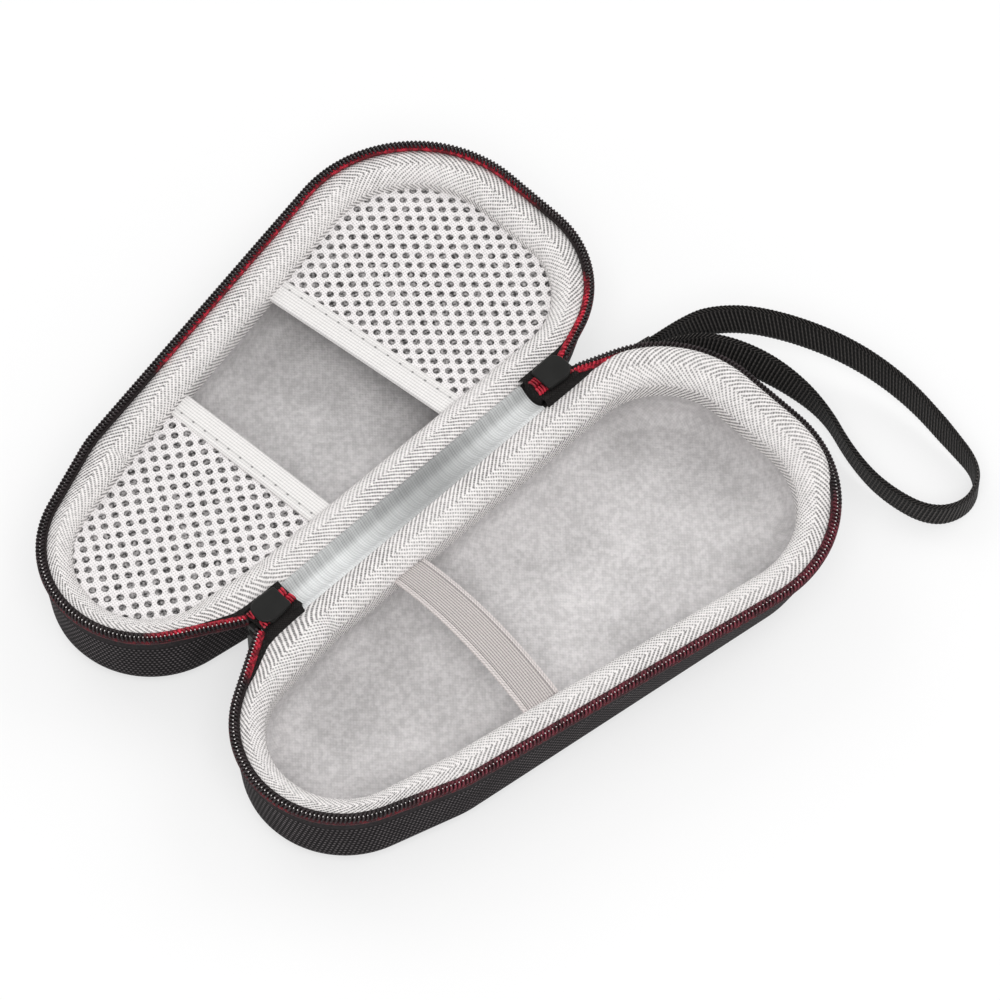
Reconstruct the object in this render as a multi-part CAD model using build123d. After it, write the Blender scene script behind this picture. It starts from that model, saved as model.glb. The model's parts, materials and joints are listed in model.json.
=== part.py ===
from build123d import *
import math
import os

os.makedirs("parts", exist_ok=True)

# Zip-around hard case for an electric shaver, lying open on a table.
# Frame: X runs along the fabric hinge towards the wide end, Y runs across it
# (tray half at negative Y, lid half at positive Y), Z is up and z = 0 is the table.
# The origin is on the table below the middle of the hinge. All lengths are millimetres.

# --- outline of one half, seen from above -------------------------------------------------
case_length = 190.0            # over the zip coil, along X
hinge_gap = 3.0                # from the hinge line to the outline of each half
half_width = 93.5              # from the outline's hinge side to its far side, wide end
narrow_end_radius = 31.5
narrow_end_inset = 4.5         # the narrow end's arc starts this far from the hinge side
shoulder_reach = 52.0          # from the narrow tip to the middle of the arc beside that end
shoulder_bulge = 3.06          # of that arc beyond the straight line past it on the far side
wide_hinge_radius = 35.0       # corner at the wide end, beside the hinge
wide_far_radius = 39.5         # corner at the wide end, away from the hinge

# --- heights ------------------------------------------------------------------------------
shell_height = 26.0            # moulded shell, table to its rim
tape_height = 1.9              # zip tape that shows above the rim
coil_height = 2.1
coil_width = 3.0
coil_gap = 0.1                 # hinge line above the coil, so closed coils meet 2 x this apart

# --- shell, lining and rim ----------------------------------------------------------------
shell_inset = 1.2              # shell's rim inside the outline of the coil
shell_thickness = 4.4          # foam and fabric together
bottom_edge_radius = 7.0
cavity_edge_radius = 4.0
narrow_lean = 1.8              # how far each wall leans in between its rim and the table
shoulder_lean = 3.3
wide_hinge_lean = 4.8
wide_far_lean = 8.8
lining_thickness = 1.2
lining_gap = 0.1               # glue line between lining and shell
tape_thickness = 1.0
binding_inset = 2.2            # outer edge of the rim binding
binding_width = 10.4
binding_thickness = 1.6        # where it lies on the rim
binding_leg_thickness = 2.6    # where it turns down into the mouth
binding_leg_depth = 6.0
binding_roll_radius = 2.4
narrow_mouth_relief = 2.4      # the binding is narrower round the narrow end

# --- tray strap ---------------------------------------------------------------------------
elastic_width = 12.0
elastic_thickness = 1.0
elastic_x = -18.0
elastic_skew = -3.5            # degrees off square to the hinge
elastic_drop = 3.0             # its ends lie this far below the top of the binding
elastic_rise = 6.0             # crown above its ends

# --- lid pockets --------------------------------------------------------------------------
mesh_thickness = 0.8
mesh_drop = 4.6                # below the top of the binding
hem_width = 8.0
hem_thickness = 1.6
narrow_hem_x = -23.0           # middle of the hem, half way across the lid
narrow_hem_turn = 4.0          # degrees off square to the hinge
wide_hem_x = 25.5
wide_hem_turn = 7.3            # degrees off square to the hinge

# --- fabric hinge -------------------------------------------------------------------------
ribbon_length = 93.0
ribbon_thickness = 0.8
ribbon_sag = 2.6
patch_length = 9.0

# --- zip ends and sliders -----------------------------------------------------------------
tail_thickness = 0.8           # folded tape that ends the joined chain
tail_gap = 0.3                 # from the end of the ribbon
joined_chain_length = 3.5      # from the tail to where the two coils part
parting_length = 9.0           # from there to the ends of the parted coils
parting_spread = 0.7           # each coil's move away from the hinge line
chain_tape_width = 2.1         # tape that shows beside the joined coils
chain_tape_thickness = 0.8
coil_end_gap = 1.2             # along X, between the parted coils and the coil on the rim
slider_end_gap = 0.6           # from the slider's front to the ends of the parted coils
slider_length = 10.0
slider_width = 8.4
slider_tail_width = 7.4
slider_plate = 0.8
slider_front_radius = 3.4      # corners of the plates, seen from above
slider_tail_radius = 0.8
slider_shoulder_gap = 0.4      # straight side between the front corner and the taper
slider_edge_radius = 0.5
slider_clearance = 0.3         # around the coils, above and below
slider_wall = 0.4
tape_slot = 1.1
slider_travel = 1.6            # along the joined chain, towards the tail
post_length = 1.0
post_width = 0.6
lug_width = 2.4
lug_overlap = 3.0              # length of the lug that is joined to the lower plate
lug_reach = 0.4                # from the slider's front to the middle of the lug's eye
wire_diameter = 1.2
pivot_clearance = 0.08         # radial, wire in its eye
lug_wall = 0.65
bail_length = 4.5
bail_width = 5.2               # between the middles of its side wires
bail_corner_radius = 1.0
tab_length = 15.0
tab_width = 6.0
tab_thickness = 1.4
tab_end_radius = 2.7
tab_corner_radius = 0.9
eye_length = 3.0

# --- hand strap ---------------------------------------------------------------------------
strap_width = 10.0
strap_thickness = 1.5
strap_spacing = 1.9            # between the two ends of the strap in their anchor
strap_tuck = 1.0               # length of each end inside the anchor
anchor_angle = 55.0            # degrees round the wide corner beside the hinge
anchor_heading = -14.0         # degrees from X, the way the strap leaves
anchor_length = 9.0
anchor_reach = 2.4             # middle of the anchor, outside the shell's wall
anchor_wrap = 0.8              # webbing of the anchor round the strap
run_share = 0.45               # of its shorter run that an arc of the strap takes up
anchor_drop = 6.0              # from the shell's rim down to the middle of the strap there

# Points that the middle of the strap goes by after the anchor: x, y and height.
STRAP_ROUTE = [
    (97.0, -9.8, 19.8),
    (110.8, -17.0, 17.8),
    (121.2, -30.2, 15.2),
    (129.4, -47.0, 11.6),
    (132.6, -65.0, 8.4),
    (131.0, -83.0, 6.0),
    (128.4, -97.8, 5.2),
    (118.2, -103.0, 5.2),
    (107.9, -97.8, 5.2),
    (104.6, -82.5, 5.3),
    (106.0, -68.5, 6.6),
    (110.6, -53.5, 9.2),
    (108.6, -38.5, 13.0),
    (102.5, -25.0, 17.0),
    (94.0, -15.5, 19.2),
]

# --- worked out from the above ------------------------------------------------------------
half_length = case_length / 2
coil_base = shell_height + tape_height
anchor_height = shell_height - anchor_drop
rim_top = coil_base + coil_height
hinge_height = rim_top + coil_gap
coil_end_rise = parting_spread / parting_length * coil_end_gap
coil_end_y = coil_width / 2 + parting_spread + coil_end_rise
binding_top = shell_height + binding_thickness
mesh_top = binding_top - mesh_drop
mouth_inset = binding_inset + binding_width
ribbon_end = ribbon_length / 2
tail_x = ribbon_end + tail_gap
chain_start = tail_x + tail_thickness
parting_x = chain_start + joined_chain_length
chain_end = parting_x + parting_length
coil_end_x = chain_end + coil_end_gap
slider_front = chain_end - slider_end_gap
slider_tail = slider_front - slider_length
slider_shoulder = slider_front - slider_front_radius - slider_shoulder_gap
chain_bottom = hinge_height - coil_height / 2
chain_top = hinge_height + coil_height / 2
plate_bottom = chain_bottom - slider_clearance
plate_top = chain_top + slider_clearance
wire_radius = wire_diameter / 2
eye_radius = wire_radius + pivot_clearance
lug_radius = eye_radius + lug_wall
bail_x = slider_front + lug_reach
bail_height = plate_bottom - slider_plate - lug_radius - pivot_clearance
tab_height = bail_height - bail_length


# --- outline helpers ----------------------------------------------------------------------
def corner_arcs():
    """Corner arcs of the tray half: name -> (x, y, radius)."""
    wide_hinge = (half_length - wide_hinge_radius, -hinge_gap - wide_hinge_radius, wide_hinge_radius)
    wide_far = (half_length - wide_far_radius, -hinge_gap - half_width + wide_far_radius, wide_far_radius)
    narrow_y = -hinge_gap - narrow_end_inset - narrow_end_radius
    narrow = (narrow_end_radius - half_length, narrow_y, narrow_end_radius)
    return {
        "wide_hinge": wide_hinge,
        "shoulder": shoulder_arc(narrow, wide_far),
        "narrow": narrow,
        "wide_far": wide_far,
    }


def shoulder_arc(narrow, wide_far):
    """Arc that touches the hinge side and bulges past the straight line on the far side."""
    x = shoulder_reach - half_length
    normal = tangent_normal(narrow, wide_far)
    touch_x, touch_y = on_arc(narrow, normal)
    across = (touch_x - x) * math.cos(normal) + (touch_y + hinge_gap) * math.sin(normal)
    radius = (across + shoulder_bulge) / (1 - math.sin(normal))
    return (x, -hinge_gap - radius, radius)


def inset_arcs(inset, extra=None):
    """The corner arcs drawn in by inset, and each by its own extra where one is given."""
    extra = extra or {}
    return {
        name: (x, y, radius - inset - extra.get(name, 0.0))
        for name, (x, y, radius) in corner_arcs().items()
    }


def tangent_normal(start, end):
    """Angle of the outward normal of the line that touches two arcs on their outside."""
    run_x, run_y = end[0] - start[0], end[1] - start[1]
    heading = math.atan2(run_y, run_x)
    lean = math.asin((start[2] - end[2]) / math.hypot(run_x, run_y))
    return heading - math.pi / 2 + lean


def on_arc(arc, angle):
    x, y, radius = arc
    return (x + radius * math.cos(angle), y + radius * math.sin(angle))


def arc_edge(arc, start_angle, end_angle):
    turn = (end_angle - start_angle) % (2 * math.pi)
    points = [on_arc(arc, start_angle + turn * share) for share in (0.0, 0.5, 1.0)]
    return ThreePointArc(*points)


def closed_outline(arcs):
    """Face inside straight lines and the corner arcs, taken anticlockwise."""
    ring = [arcs[name] for name in ("wide_hinge", "shoulder", "narrow", "shoulder", "wide_far")]
    normals = [tangent_normal(arc, ring[(i + 1) % len(ring)]) for i, arc in enumerate(ring)]
    edges = []
    for i, arc in enumerate(ring):
        following = ring[(i + 1) % len(ring)]
        edges.append(arc_edge(arc, normals[i - 1], normals[i]))
        edges.append(Line(on_arc(arc, normals[i]), on_arc(following, normals[i])))
    return make_face(Curve() + edges)


def rim_path(inset, height):
    """Open path round the far side of the rim, from one end of the hinge to the other."""
    arcs = inset_arcs(inset)
    start = (-coil_end_x, -coil_end_y, 0.0)
    end = (coil_end_x, -coil_end_y, 0.0)
    ring = [start, arcs["narrow"], arcs["shoulder"], arcs["wide_far"], arcs["wide_hinge"], end]
    normals = [tangent_normal(ring[i], ring[i + 1]) for i in range(len(ring) - 1)]
    edges = [Line(start[:2], on_arc(ring[1], normals[0]))]
    for i in range(1, len(ring) - 1):
        edges.append(arc_edge(ring[i], normals[i - 1], normals[i]))
        edges.append(Line(on_arc(ring[i], normals[i]), on_arc(ring[i + 1], normals[i])))
    return Pos(0, 0, height) * Wire([edge.edge() for edge in edges])


def plate(face, bottom, height):
    return extrude(Pos(0, 0, bottom) * face, height)


def strip_on(path, width, height):
    """A strip of rectangular section along a flat path, standing on the path's level."""
    section = Plane(path @ 0, x_dir=(0, 0, 1), z_dir=path % 0) * Pos(height / 2, 0) * Rectangle(height, width)
    return sweep(section, path=path)


def to_lid(solid):
    """The lid half mirrors the tray half across the hinge line."""
    return mirror(solid, about=Plane.XZ)


def wall_lean(share=1.0):
    return {
        "narrow": narrow_lean * share,
        "shoulder": shoulder_lean * share,
        "wide_hinge": wide_hinge_lean * share,
        "wide_far": wide_far_lean * share,
    }


def bowl(top_inset, bottom, edge_radius):
    """Solid between the rim level and a floor, with leaning walls and a rounded floor edge."""
    rim_face = closed_outline(inset_arcs(top_inset))
    depth_share = (shell_height - bottom) / shell_height
    floor_face = closed_outline(inset_arcs(top_inset, wall_lean(depth_share)))
    body = loft([Pos(0, 0, bottom) * floor_face, Pos(0, 0, shell_height) * rim_face], ruled=True)
    floor_edges = body.edges().group_by(Axis.Z)[0]
    return fillet(floor_edges, edge_radius)


# --- one half -----------------------------------------------------------------------------
def half_shell():
    outside = bowl(shell_inset, 0.0, bottom_edge_radius)
    cavity = bowl(shell_inset + shell_thickness, shell_thickness, cavity_edge_radius)
    return outside - cavity


def half_lining():
    outer_inset = shell_inset + shell_thickness + lining_gap
    outside = bowl(outer_inset, shell_thickness, cavity_edge_radius)
    hollow = bowl(outer_inset + lining_thickness, shell_thickness + lining_thickness, cavity_edge_radius)
    return outside - hollow


def mouth_arcs(inset):
    return inset_arcs(inset, {"narrow": -narrow_mouth_relief})


def half_binding():
    """Wide tape bound over the rim and turned down into the mouth."""
    rim = closed_outline(inset_arcs(binding_inset))
    mouth = closed_outline(mouth_arcs(mouth_inset))
    leg_outside = closed_outline(mouth_arcs(mouth_inset - binding_leg_thickness))
    top = plate(rim - mouth, shell_height, binding_thickness)
    leg = plate(leg_outside - mouth, shell_height - binding_leg_depth, binding_leg_depth)
    bound = top + leg
    top_face = bound.faces().sort_by(Axis.Z)[-1]
    mouth_edges = top_face.inner_wires()[0].edges()
    return fillet(mouth_edges, binding_roll_radius)


def half_zip_tape():
    path = rim_path(shell_inset + tape_thickness / 2, shell_height)
    return strip_on(path, tape_thickness, tape_height)


def half_zip_coil():
    path = rim_path(coil_width / 2, coil_base)
    return strip_on(path, coil_width, coil_height)


# --- pieces of the tray half only ---------------------------------------------------------
def far_mouth_y(x):
    """Where the far side of the tray's mouth crosses a line square to the hinge."""
    arcs = mouth_arcs(mouth_inset)
    normal = tangent_normal(arcs["shoulder"], arcs["wide_far"])
    touch_x, touch_y = on_arc(arcs["shoulder"], normal)
    return touch_y - (x - touch_x) * math.cos(normal) / math.sin(normal)


def mouth_prism(bottom, height):
    return plate(closed_outline(mouth_arcs(mouth_inset)), bottom, height)


def elastic_band():
    """Flat elastic, sewn to the binding at both ends and arched over the tray."""
    near_y = -hinge_gap - mouth_inset
    far_y = far_mouth_y(elastic_x)
    middle_y = (near_y + far_y) / 2
    end_top = binding_top - elastic_drop
    spare = elastic_width
    line = [
        Line((near_y + spare, end_top), (near_y, end_top)),
        ThreePointArc((near_y, end_top), (middle_y, end_top + elastic_rise), (far_y, end_top)),
        Line((far_y, end_top), (far_y - spare, end_top)),
    ]
    under = [Pos(0, -elastic_thickness) * edge for edge in line]
    ends = [
        Line((y, end_top), (y, end_top - elastic_thickness)) for y in (near_y + spare, far_y - spare)
    ]
    side = make_face(Curve() + line + under + ends)
    band = extrude(Plane.YZ * side, elastic_width / 2, both=True)
    band = Pos(elastic_x, middle_y, 0) * Rot(0, 0, elastic_skew) * Pos(0, -middle_y, 0) * band
    return band & mouth_prism(end_top - 2 * elastic_thickness, elastic_rise + 3 * elastic_thickness)


# --- lid pockets, built on the tray side and mirrored -------------------------------------
def hem_place(hem_x, turn):
    return Pos(hem_x, -hinge_gap - half_width / 2, 0) * Rot(0, 0, -turn)


def hem(hem_x, turn):
    """Folded tape along a pocket's open edge, from one side of the mouth to the other."""
    bottom = mesh_top - mesh_thickness / 2 - hem_thickness / 2
    bar = hem_place(hem_x, turn) * Pos(0, 0, bottom + hem_thickness / 2)
    bar = bar * Box(hem_width, 2 * half_width, hem_thickness)
    return to_lid(bar & mouth_prism(bottom, hem_thickness))


def pocket_mesh(hem_x, turn, side):
    """Flat mesh from a hem to the end of the lid; side is +1 for the wide end."""
    reach = case_length
    offset = side * (hem_width + reach) / 2
    field = hem_place(hem_x, turn) * Pos(offset, 0, mesh_top - mesh_thickness / 2)
    field = field * Box(reach, 2 * half_width, mesh_thickness)
    return to_lid(field & mouth_prism(mesh_top - mesh_thickness, mesh_thickness))


# --- fabric hinge -------------------------------------------------------------------------
def sagging_section(half_span, ledge, top, thickness):
    """Section of a cloth strip across the hinge: flat ledges on the rims and a sag between."""
    upper = [
        Line((-half_span - ledge, top), (-half_span, top)),
        ThreePointArc((-half_span, top), (0, top - ribbon_sag), (half_span, top)),
        Line((half_span, top), (half_span + ledge, top)),
    ] if ledge else [ThreePointArc((-half_span, top), (0, top - ribbon_sag), (half_span, top))]
    lower = [Pos(0, -thickness) * edge for edge in upper]
    outer = half_span + ledge
    ends = [Line((y, top), (y, top - thickness)) for y in (-outer, outer)]
    return make_face(Curve() + upper + lower + ends)


def along_hinge(section, start_x, end_x):
    strip = extrude(Plane.YZ * section, abs(end_x - start_x))
    return Pos(min(start_x, end_x), 0, 0) * strip


def inner_strip(start_x, end_x):
    """Cloth laid on both shells' rims, between the edges of their bindings."""
    section = sagging_section(
        hinge_gap + shell_inset, binding_inset - shell_inset, shell_height + ribbon_thickness, ribbon_thickness
    )
    return along_hinge(section, start_x, end_x)


def hinge_ribbon():
    return inner_strip(-ribbon_end, ribbon_end)


def hinge_patch(side):
    return inner_strip(side * ribbon_end, side * (ribbon_end + patch_length))


def hinge_outer_panel():
    section = sagging_section(hinge_gap + shell_inset, 0.0, shell_height, ribbon_thickness)
    return along_hinge(section, -ribbon_end - patch_length, ribbon_end + patch_length)


# --- zip ends, built at the wide end and mirrored for the narrow one ----------------------
def at_side(solid, side):
    return solid if side > 0 else mirror(solid, about=Plane.YZ)


def joined_chain(side):
    """Joined coils that part towards the rim, their tapes, and the tail that ends them."""
    spread_y = parting_spread
    coils = Rectangle(joined_chain_length, 2 * coil_width, align=(Align.MIN, Align.CENTER))
    coils = Pos(chain_start, 0) * coils
    arm = make_face(Polyline(
        (parting_x, 0), (parting_x, coil_width), (chain_end, coil_width + spread_y), (chain_end, spread_y),
        close=True,
    ))
    tape_edge = coil_width + chain_tape_width
    tape = make_face(Polyline(
        (chain_start, coil_width), (chain_start, tape_edge), (chain_end, tape_edge),
        (chain_end, coil_width + spread_y), (parting_x, coil_width), close=True,
    ))
    chain = plate(coils, chain_bottom, coil_height)
    tape_bottom = hinge_height - chain_tape_thickness / 2
    for mirrored in (False, True):
        for face, bottom, height in (
            (arm, chain_bottom, coil_height), (tape, tape_bottom, chain_tape_thickness),
        ):
            piece = plate(face, bottom, height)
            chain += mirror(piece, about=Plane.XZ) if mirrored else piece
    tail_width = 2 * coil_width + chain_tape_thickness
    tail_foot = shell_height - ribbon_sag
    tail = Pos(tail_x, 0, tail_foot) * Box(
        tail_thickness, tail_width, chain_top - tail_foot, align=(Align.MIN, Align.CENTER, Align.MIN)
    )
    chain += tail - under_patch()
    return at_side(chain, side)


def under_patch():
    """All that lies below the upper face of a hinge patch, near its middle."""
    half_span = hinge_gap + shell_inset
    top = shell_height + ribbon_thickness
    arc = ThreePointArc((-half_span, top), (0, top - ribbon_sag), (half_span, top))
    box = Polyline((half_span, top), (half_span, 0), (-half_span, 0), (-half_span, top))
    section = make_face(Curve() + [arc] + list(box.edges()))
    return along_hinge(section, ribbon_end, ribbon_end + patch_length)


def both_sides(points):
    """Face between a line of points above the hinge line and its mirror image below."""
    return make_face(Polyline(*points, *((x, -y) for x, y in reversed(points)), close=True))


def slider_plan():
    plan = both_sides([
        (slider_tail, slider_tail_width / 2), (slider_shoulder, slider_width / 2), (slider_front, slider_width / 2),
    ])
    plan = fillet(plan.vertices().group_by(Axis.X)[-1], slider_front_radius)
    return fillet(plan.vertices().group_by(Axis.X)[0], slider_tail_radius)


def slider_hollow():
    """Plan of the space between the slider's side walls, open at its front and tail."""
    tail_y = slider_tail_width / 2 - slider_wall
    front_y = slider_width / 2 - slider_wall
    return both_sides([
        (slider_tail - slider_length, tail_y), (slider_tail, tail_y), (slider_shoulder, front_y),
        (slider_front + slider_length, front_y),
    ])


def slider_body(side):
    """Two plates round the coils, joined by a post between them, with a lug for the pull."""
    opening = plate_top - plate_bottom
    body = plate(slider_plan(), plate_bottom - slider_plate, opening + 2 * slider_plate)
    body -= plate(slider_hollow(), plate_bottom, opening)
    slot = Pos(slider_front - slider_length / 2, 0, hinge_height)
    body -= slot * Box(2 * slider_length, 2 * slider_width, tape_slot)
    top_edges = body.faces().sort_by(Axis.Z)[-1].edges()
    body = fillet(top_edges, slider_edge_radius)
    post_x = slider_front - slider_wall - post_length / 2
    body += Pos(post_x, 0, hinge_height) * Box(post_length, post_width, opening + slider_plate)
    body += lug()
    return at_side(body - wire_hole(bail_height, lug_width), side)


def lug():
    drop = plate_bottom - slider_plate - bail_height
    block_length = lug_overlap + lug_reach + lug_radius
    block = Pos(slider_front - lug_overlap, 0, bail_height) * Box(
        block_length, lug_width, drop, align=(Align.MIN, Align.CENTER, Align.MIN)
    )
    return block + cross_rod(bail_height, lug_radius, lug_width)


def cross_rod(height, radius, length):
    """Cylinder across the case at the pull's place, at the given height."""
    return Pos(bail_x, 0, height) * Rot(90, 0, 0) * Cylinder(radius, length)


def wire_hole(height, length):
    return cross_rod(height, eye_radius, 2 * length)


def pull_bail(side):
    """Wire ring that links the slider's lug and the pull tab."""
    loop = Plane.YZ * RectangleRounded(bail_width, bail_length, bail_corner_radius)
    path = (Pos(bail_x, 0, bail_height - bail_length / 2) * loop).wire()
    section = Plane(path @ 0, z_dir=path % 0) * Circle(wire_radius)
    return at_side(sweep(section, path=path), side)


def pull_tab(side):
    """Flat tab with a rounded end, hanging from an eye on the bail."""
    barrel = cross_rod(tab_height, lug_radius, eye_length)
    shoulder = tab_height - lug_radius - wire_radius
    neck = Pos(bail_x, 0, shoulder) * Box(
        tab_thickness, eye_length, tab_height - shoulder, align=(Align.CENTER, Align.CENTER, Align.MIN)
    )
    length = tab_length - (tab_height - shoulder)
    blade = Pos(0, -length / 2) * Rectangle(tab_width, length)
    blade = fillet(blade.vertices().group_by(Axis.Y)[0], tab_end_radius)
    blade = fillet(blade.vertices().group_by(Axis.Y)[-1], tab_corner_radius)
    flat = Plane((bail_x, 0, shoulder), x_dir=(0, 1, 0), z_dir=(1, 0, 0)) * blade
    tab = extrude(flat, tab_thickness / 2, both=True) + neck + barrel
    return at_side(tab - wire_hole(tab_height, eye_length), side)


# --- hand strap ---------------------------------------------------------------------------
def anchor_frame():
    """Middle of the strap's anchor, and the way the strap leaves it."""
    x, y, radius = corner_arcs()["wide_hinge"]
    angle = math.radians(anchor_angle)
    reach = radius - shell_inset + anchor_reach
    heading = math.radians(anchor_heading)
    middle = Vector(x + reach * math.cos(angle), y + reach * math.sin(angle), anchor_height)
    return middle, Vector(math.cos(heading), math.sin(heading), 0)


def strap_anchor():
    """Webbing folded round both ends of the strap and sewn to the shell's wall."""
    middle, heading = anchor_frame()
    thickness = strap_spacing + strap_thickness + 2 * anchor_wrap
    height = strap_width + 2 * anchor_wrap
    inward = 2 * anchor_reach
    block = Box(anchor_length, thickness + inward, height, align=(Align.CENTER, Align.MAX, Align.CENTER))
    block = Pos(0, thickness / 2, 0) * block
    place = Plane(origin=middle, x_dir=heading, z_dir=(0, 0, 1))
    return place * block - bowl(shell_inset, 0.0, bottom_edge_radius)


def strap_points():
    middle, heading = anchor_frame()
    across = Vector(-heading.Y, heading.X, 0)
    mouth = middle + heading * (anchor_length / 2 - strap_tuck)
    leave = mouth + across * (strap_spacing / 2)
    enter = mouth - across * (strap_spacing / 2)
    return [leave] + [Vector(*point) for point in STRAP_ROUTE] + [enter]


def strap_radii(points):
    """Arc radius at each corner: as large as the shorter of its two runs allows."""
    radii = []
    for before, here, after in zip(points, points[1:], points[2:]):
        turn = (here - before).get_angle(after - here)
        shorter = min((here - before).length, (after - here).length)
        radii.append(run_share * shorter / math.tan(math.radians(turn) / 2))
    return radii


def hand_strap():
    """Flat webbing on its edge, out from the anchor, round and back."""
    points = strap_points()
    radii = strap_radii(points)
    print("strap radii", [round(radius, 1) for radius in radii])
    path = FilletPolyline(*points, radius=radii).wire()
    edge_path = (Pos(0, 0, strap_width) * path).wire()
    section = Plane(path @ 0, x_dir=(0, 0, 1), z_dir=path % 0) * Rectangle(strap_width, strap_thickness)
    band = sweep(section, path=path, binormal=edge_path)
    expected = path.length * strap_width * strap_thickness
    print("strap length", round(path.length, 1), "volume over section x length", round(band.volume / expected, 4))
    return band


# --- all sub-parts ------------------------------------------------------------------------
NODES = {
    "base_shell": half_shell,
    "base_lining": half_lining,
    "base_rim_binding": half_binding,
    "base_zip_tape": half_zip_tape,
    "base_zip_coil": half_zip_coil,
    "elastic_band": elastic_band,
    "strap_anchor": strap_anchor,
    "hand_strap": hand_strap,
    "lid_shell": lambda: to_lid(half_shell()),
    "lid_lining": lambda: to_lid(half_lining()),
    "lid_rim_binding": lambda: to_lid(half_binding()),
    "lid_zip_tape": lambda: to_lid(half_zip_tape()),
    "lid_zip_coil": lambda: to_lid(half_zip_coil()),
    "wide_pocket_mesh": lambda: pocket_mesh(wide_hem_x, wide_hem_turn, 1),
    "wide_pocket_hem": lambda: hem(wide_hem_x, wide_hem_turn),
    "narrow_pocket_mesh": lambda: pocket_mesh(narrow_hem_x, narrow_hem_turn, -1),
    "narrow_pocket_hem": lambda: hem(narrow_hem_x, narrow_hem_turn),
    "hinge_ribbon": hinge_ribbon,
    "hinge_outer_panel": hinge_outer_panel,
    "wide_hinge_patch": lambda: hinge_patch(1),
    "narrow_hinge_patch": lambda: hinge_patch(-1),
    "wide_joined_chain": lambda: joined_chain(1),
    "narrow_joined_chain": lambda: joined_chain(-1),
    "wide_slider_body": lambda: slider_body(1),
    "narrow_slider_body": lambda: slider_body(-1),
    "wide_pull_bail": lambda: pull_bail(1),
    "narrow_pull_bail": lambda: pull_bail(-1),
    "wide_pull_tab": lambda: pull_tab(1),
    "narrow_pull_tab": lambda: pull_tab(-1),
}

for node, build_piece in NODES.items():
    export_step(build_piece(), f"parts/{node}.step")
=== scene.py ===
"""Electric shaver hard case, lying open: cloth, zip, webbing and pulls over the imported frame."""
import json
import math

import bpy
import numpy as np
from bpy.props import FloatProperty, FloatVectorProperty, PointerProperty
from mathutils import Matrix, Vector

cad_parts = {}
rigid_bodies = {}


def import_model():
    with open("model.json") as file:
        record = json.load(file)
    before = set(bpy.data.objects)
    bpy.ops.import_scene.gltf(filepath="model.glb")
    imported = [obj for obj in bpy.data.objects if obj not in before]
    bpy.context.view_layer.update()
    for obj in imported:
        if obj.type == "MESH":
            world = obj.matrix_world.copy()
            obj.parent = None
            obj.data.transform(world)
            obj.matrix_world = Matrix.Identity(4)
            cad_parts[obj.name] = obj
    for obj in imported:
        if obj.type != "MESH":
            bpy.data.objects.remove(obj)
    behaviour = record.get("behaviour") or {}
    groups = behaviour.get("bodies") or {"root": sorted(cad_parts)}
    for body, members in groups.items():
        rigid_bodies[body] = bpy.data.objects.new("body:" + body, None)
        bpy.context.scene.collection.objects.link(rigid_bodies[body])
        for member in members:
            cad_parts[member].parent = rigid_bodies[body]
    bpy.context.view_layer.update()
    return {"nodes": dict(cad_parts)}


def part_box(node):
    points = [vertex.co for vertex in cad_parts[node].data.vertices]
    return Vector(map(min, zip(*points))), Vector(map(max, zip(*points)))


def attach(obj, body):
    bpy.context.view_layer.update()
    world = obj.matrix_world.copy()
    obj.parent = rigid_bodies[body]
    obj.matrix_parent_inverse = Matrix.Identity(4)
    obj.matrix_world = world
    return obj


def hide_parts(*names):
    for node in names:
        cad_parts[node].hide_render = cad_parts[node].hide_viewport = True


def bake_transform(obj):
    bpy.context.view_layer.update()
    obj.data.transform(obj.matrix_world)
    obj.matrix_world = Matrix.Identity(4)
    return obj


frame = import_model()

bl_info = {
    "name": "Shaver case",
    "version": (1, 0, 0),
    "blender": (4, 5, 0),
    "location": "View3D > Sidebar > Case",
    "description": "Builds the cloth, zip and pulls of an open zip-around case",
    "category": "Object",
}

MM = 0.001
TAU = 2 * math.pi
UP = np.array([0.0, 0.0, 1.0])
HALVES = (("base", False), ("lid", True))
ENDS = (("wide", 1), ("narrow", -1))

# Corner arcs of the tray half's outline: x, y and radius, in millimetres.
ARCS = {
    "wide_hinge": (60.0, -38.0, 35.0),
    "shoulder": (-43.0, -40.5, 37.5),
    "narrow": (-63.5, -39.0, 31.5),
    "wide_far": (55.5, -57.0, 39.5),
}
LEANS = {"wide_hinge": 4.8, "shoulder": 3.3, "narrow": 1.8, "wide_far": 8.8}
RING = ("wide_hinge", "shoulder", "narrow", "shoulder", "wide_far")
ARC_STEPS = (30, 6, 46, 8, 40)
LINE_STEPS = (40, 8, 6, 44, 12)
ZIP_INSET = 1.5
SHELL_TOP = 26.0
HINGE_Z = 30.1
MOUTH_INSET = 12.6
MOUTH_RELIEF = 2.4
BLACK = (0.016, 0.011, 0.012)

# Along the hinge, in millimetres: end of the ribbon, end of the black cloth past it, where the
# joined coils part and where they end; then the place where the coil on the rim ends, and how
# far from the middle the cloth beside a slider has to stay.
RIBBON_END = 46.5
PATCH_END = 55.5
PARTING = 51.1
CHAIN_END = 60.1
COIL_END = (60.5, -2.35)
SLIDER_ROOM = 4.4

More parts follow.
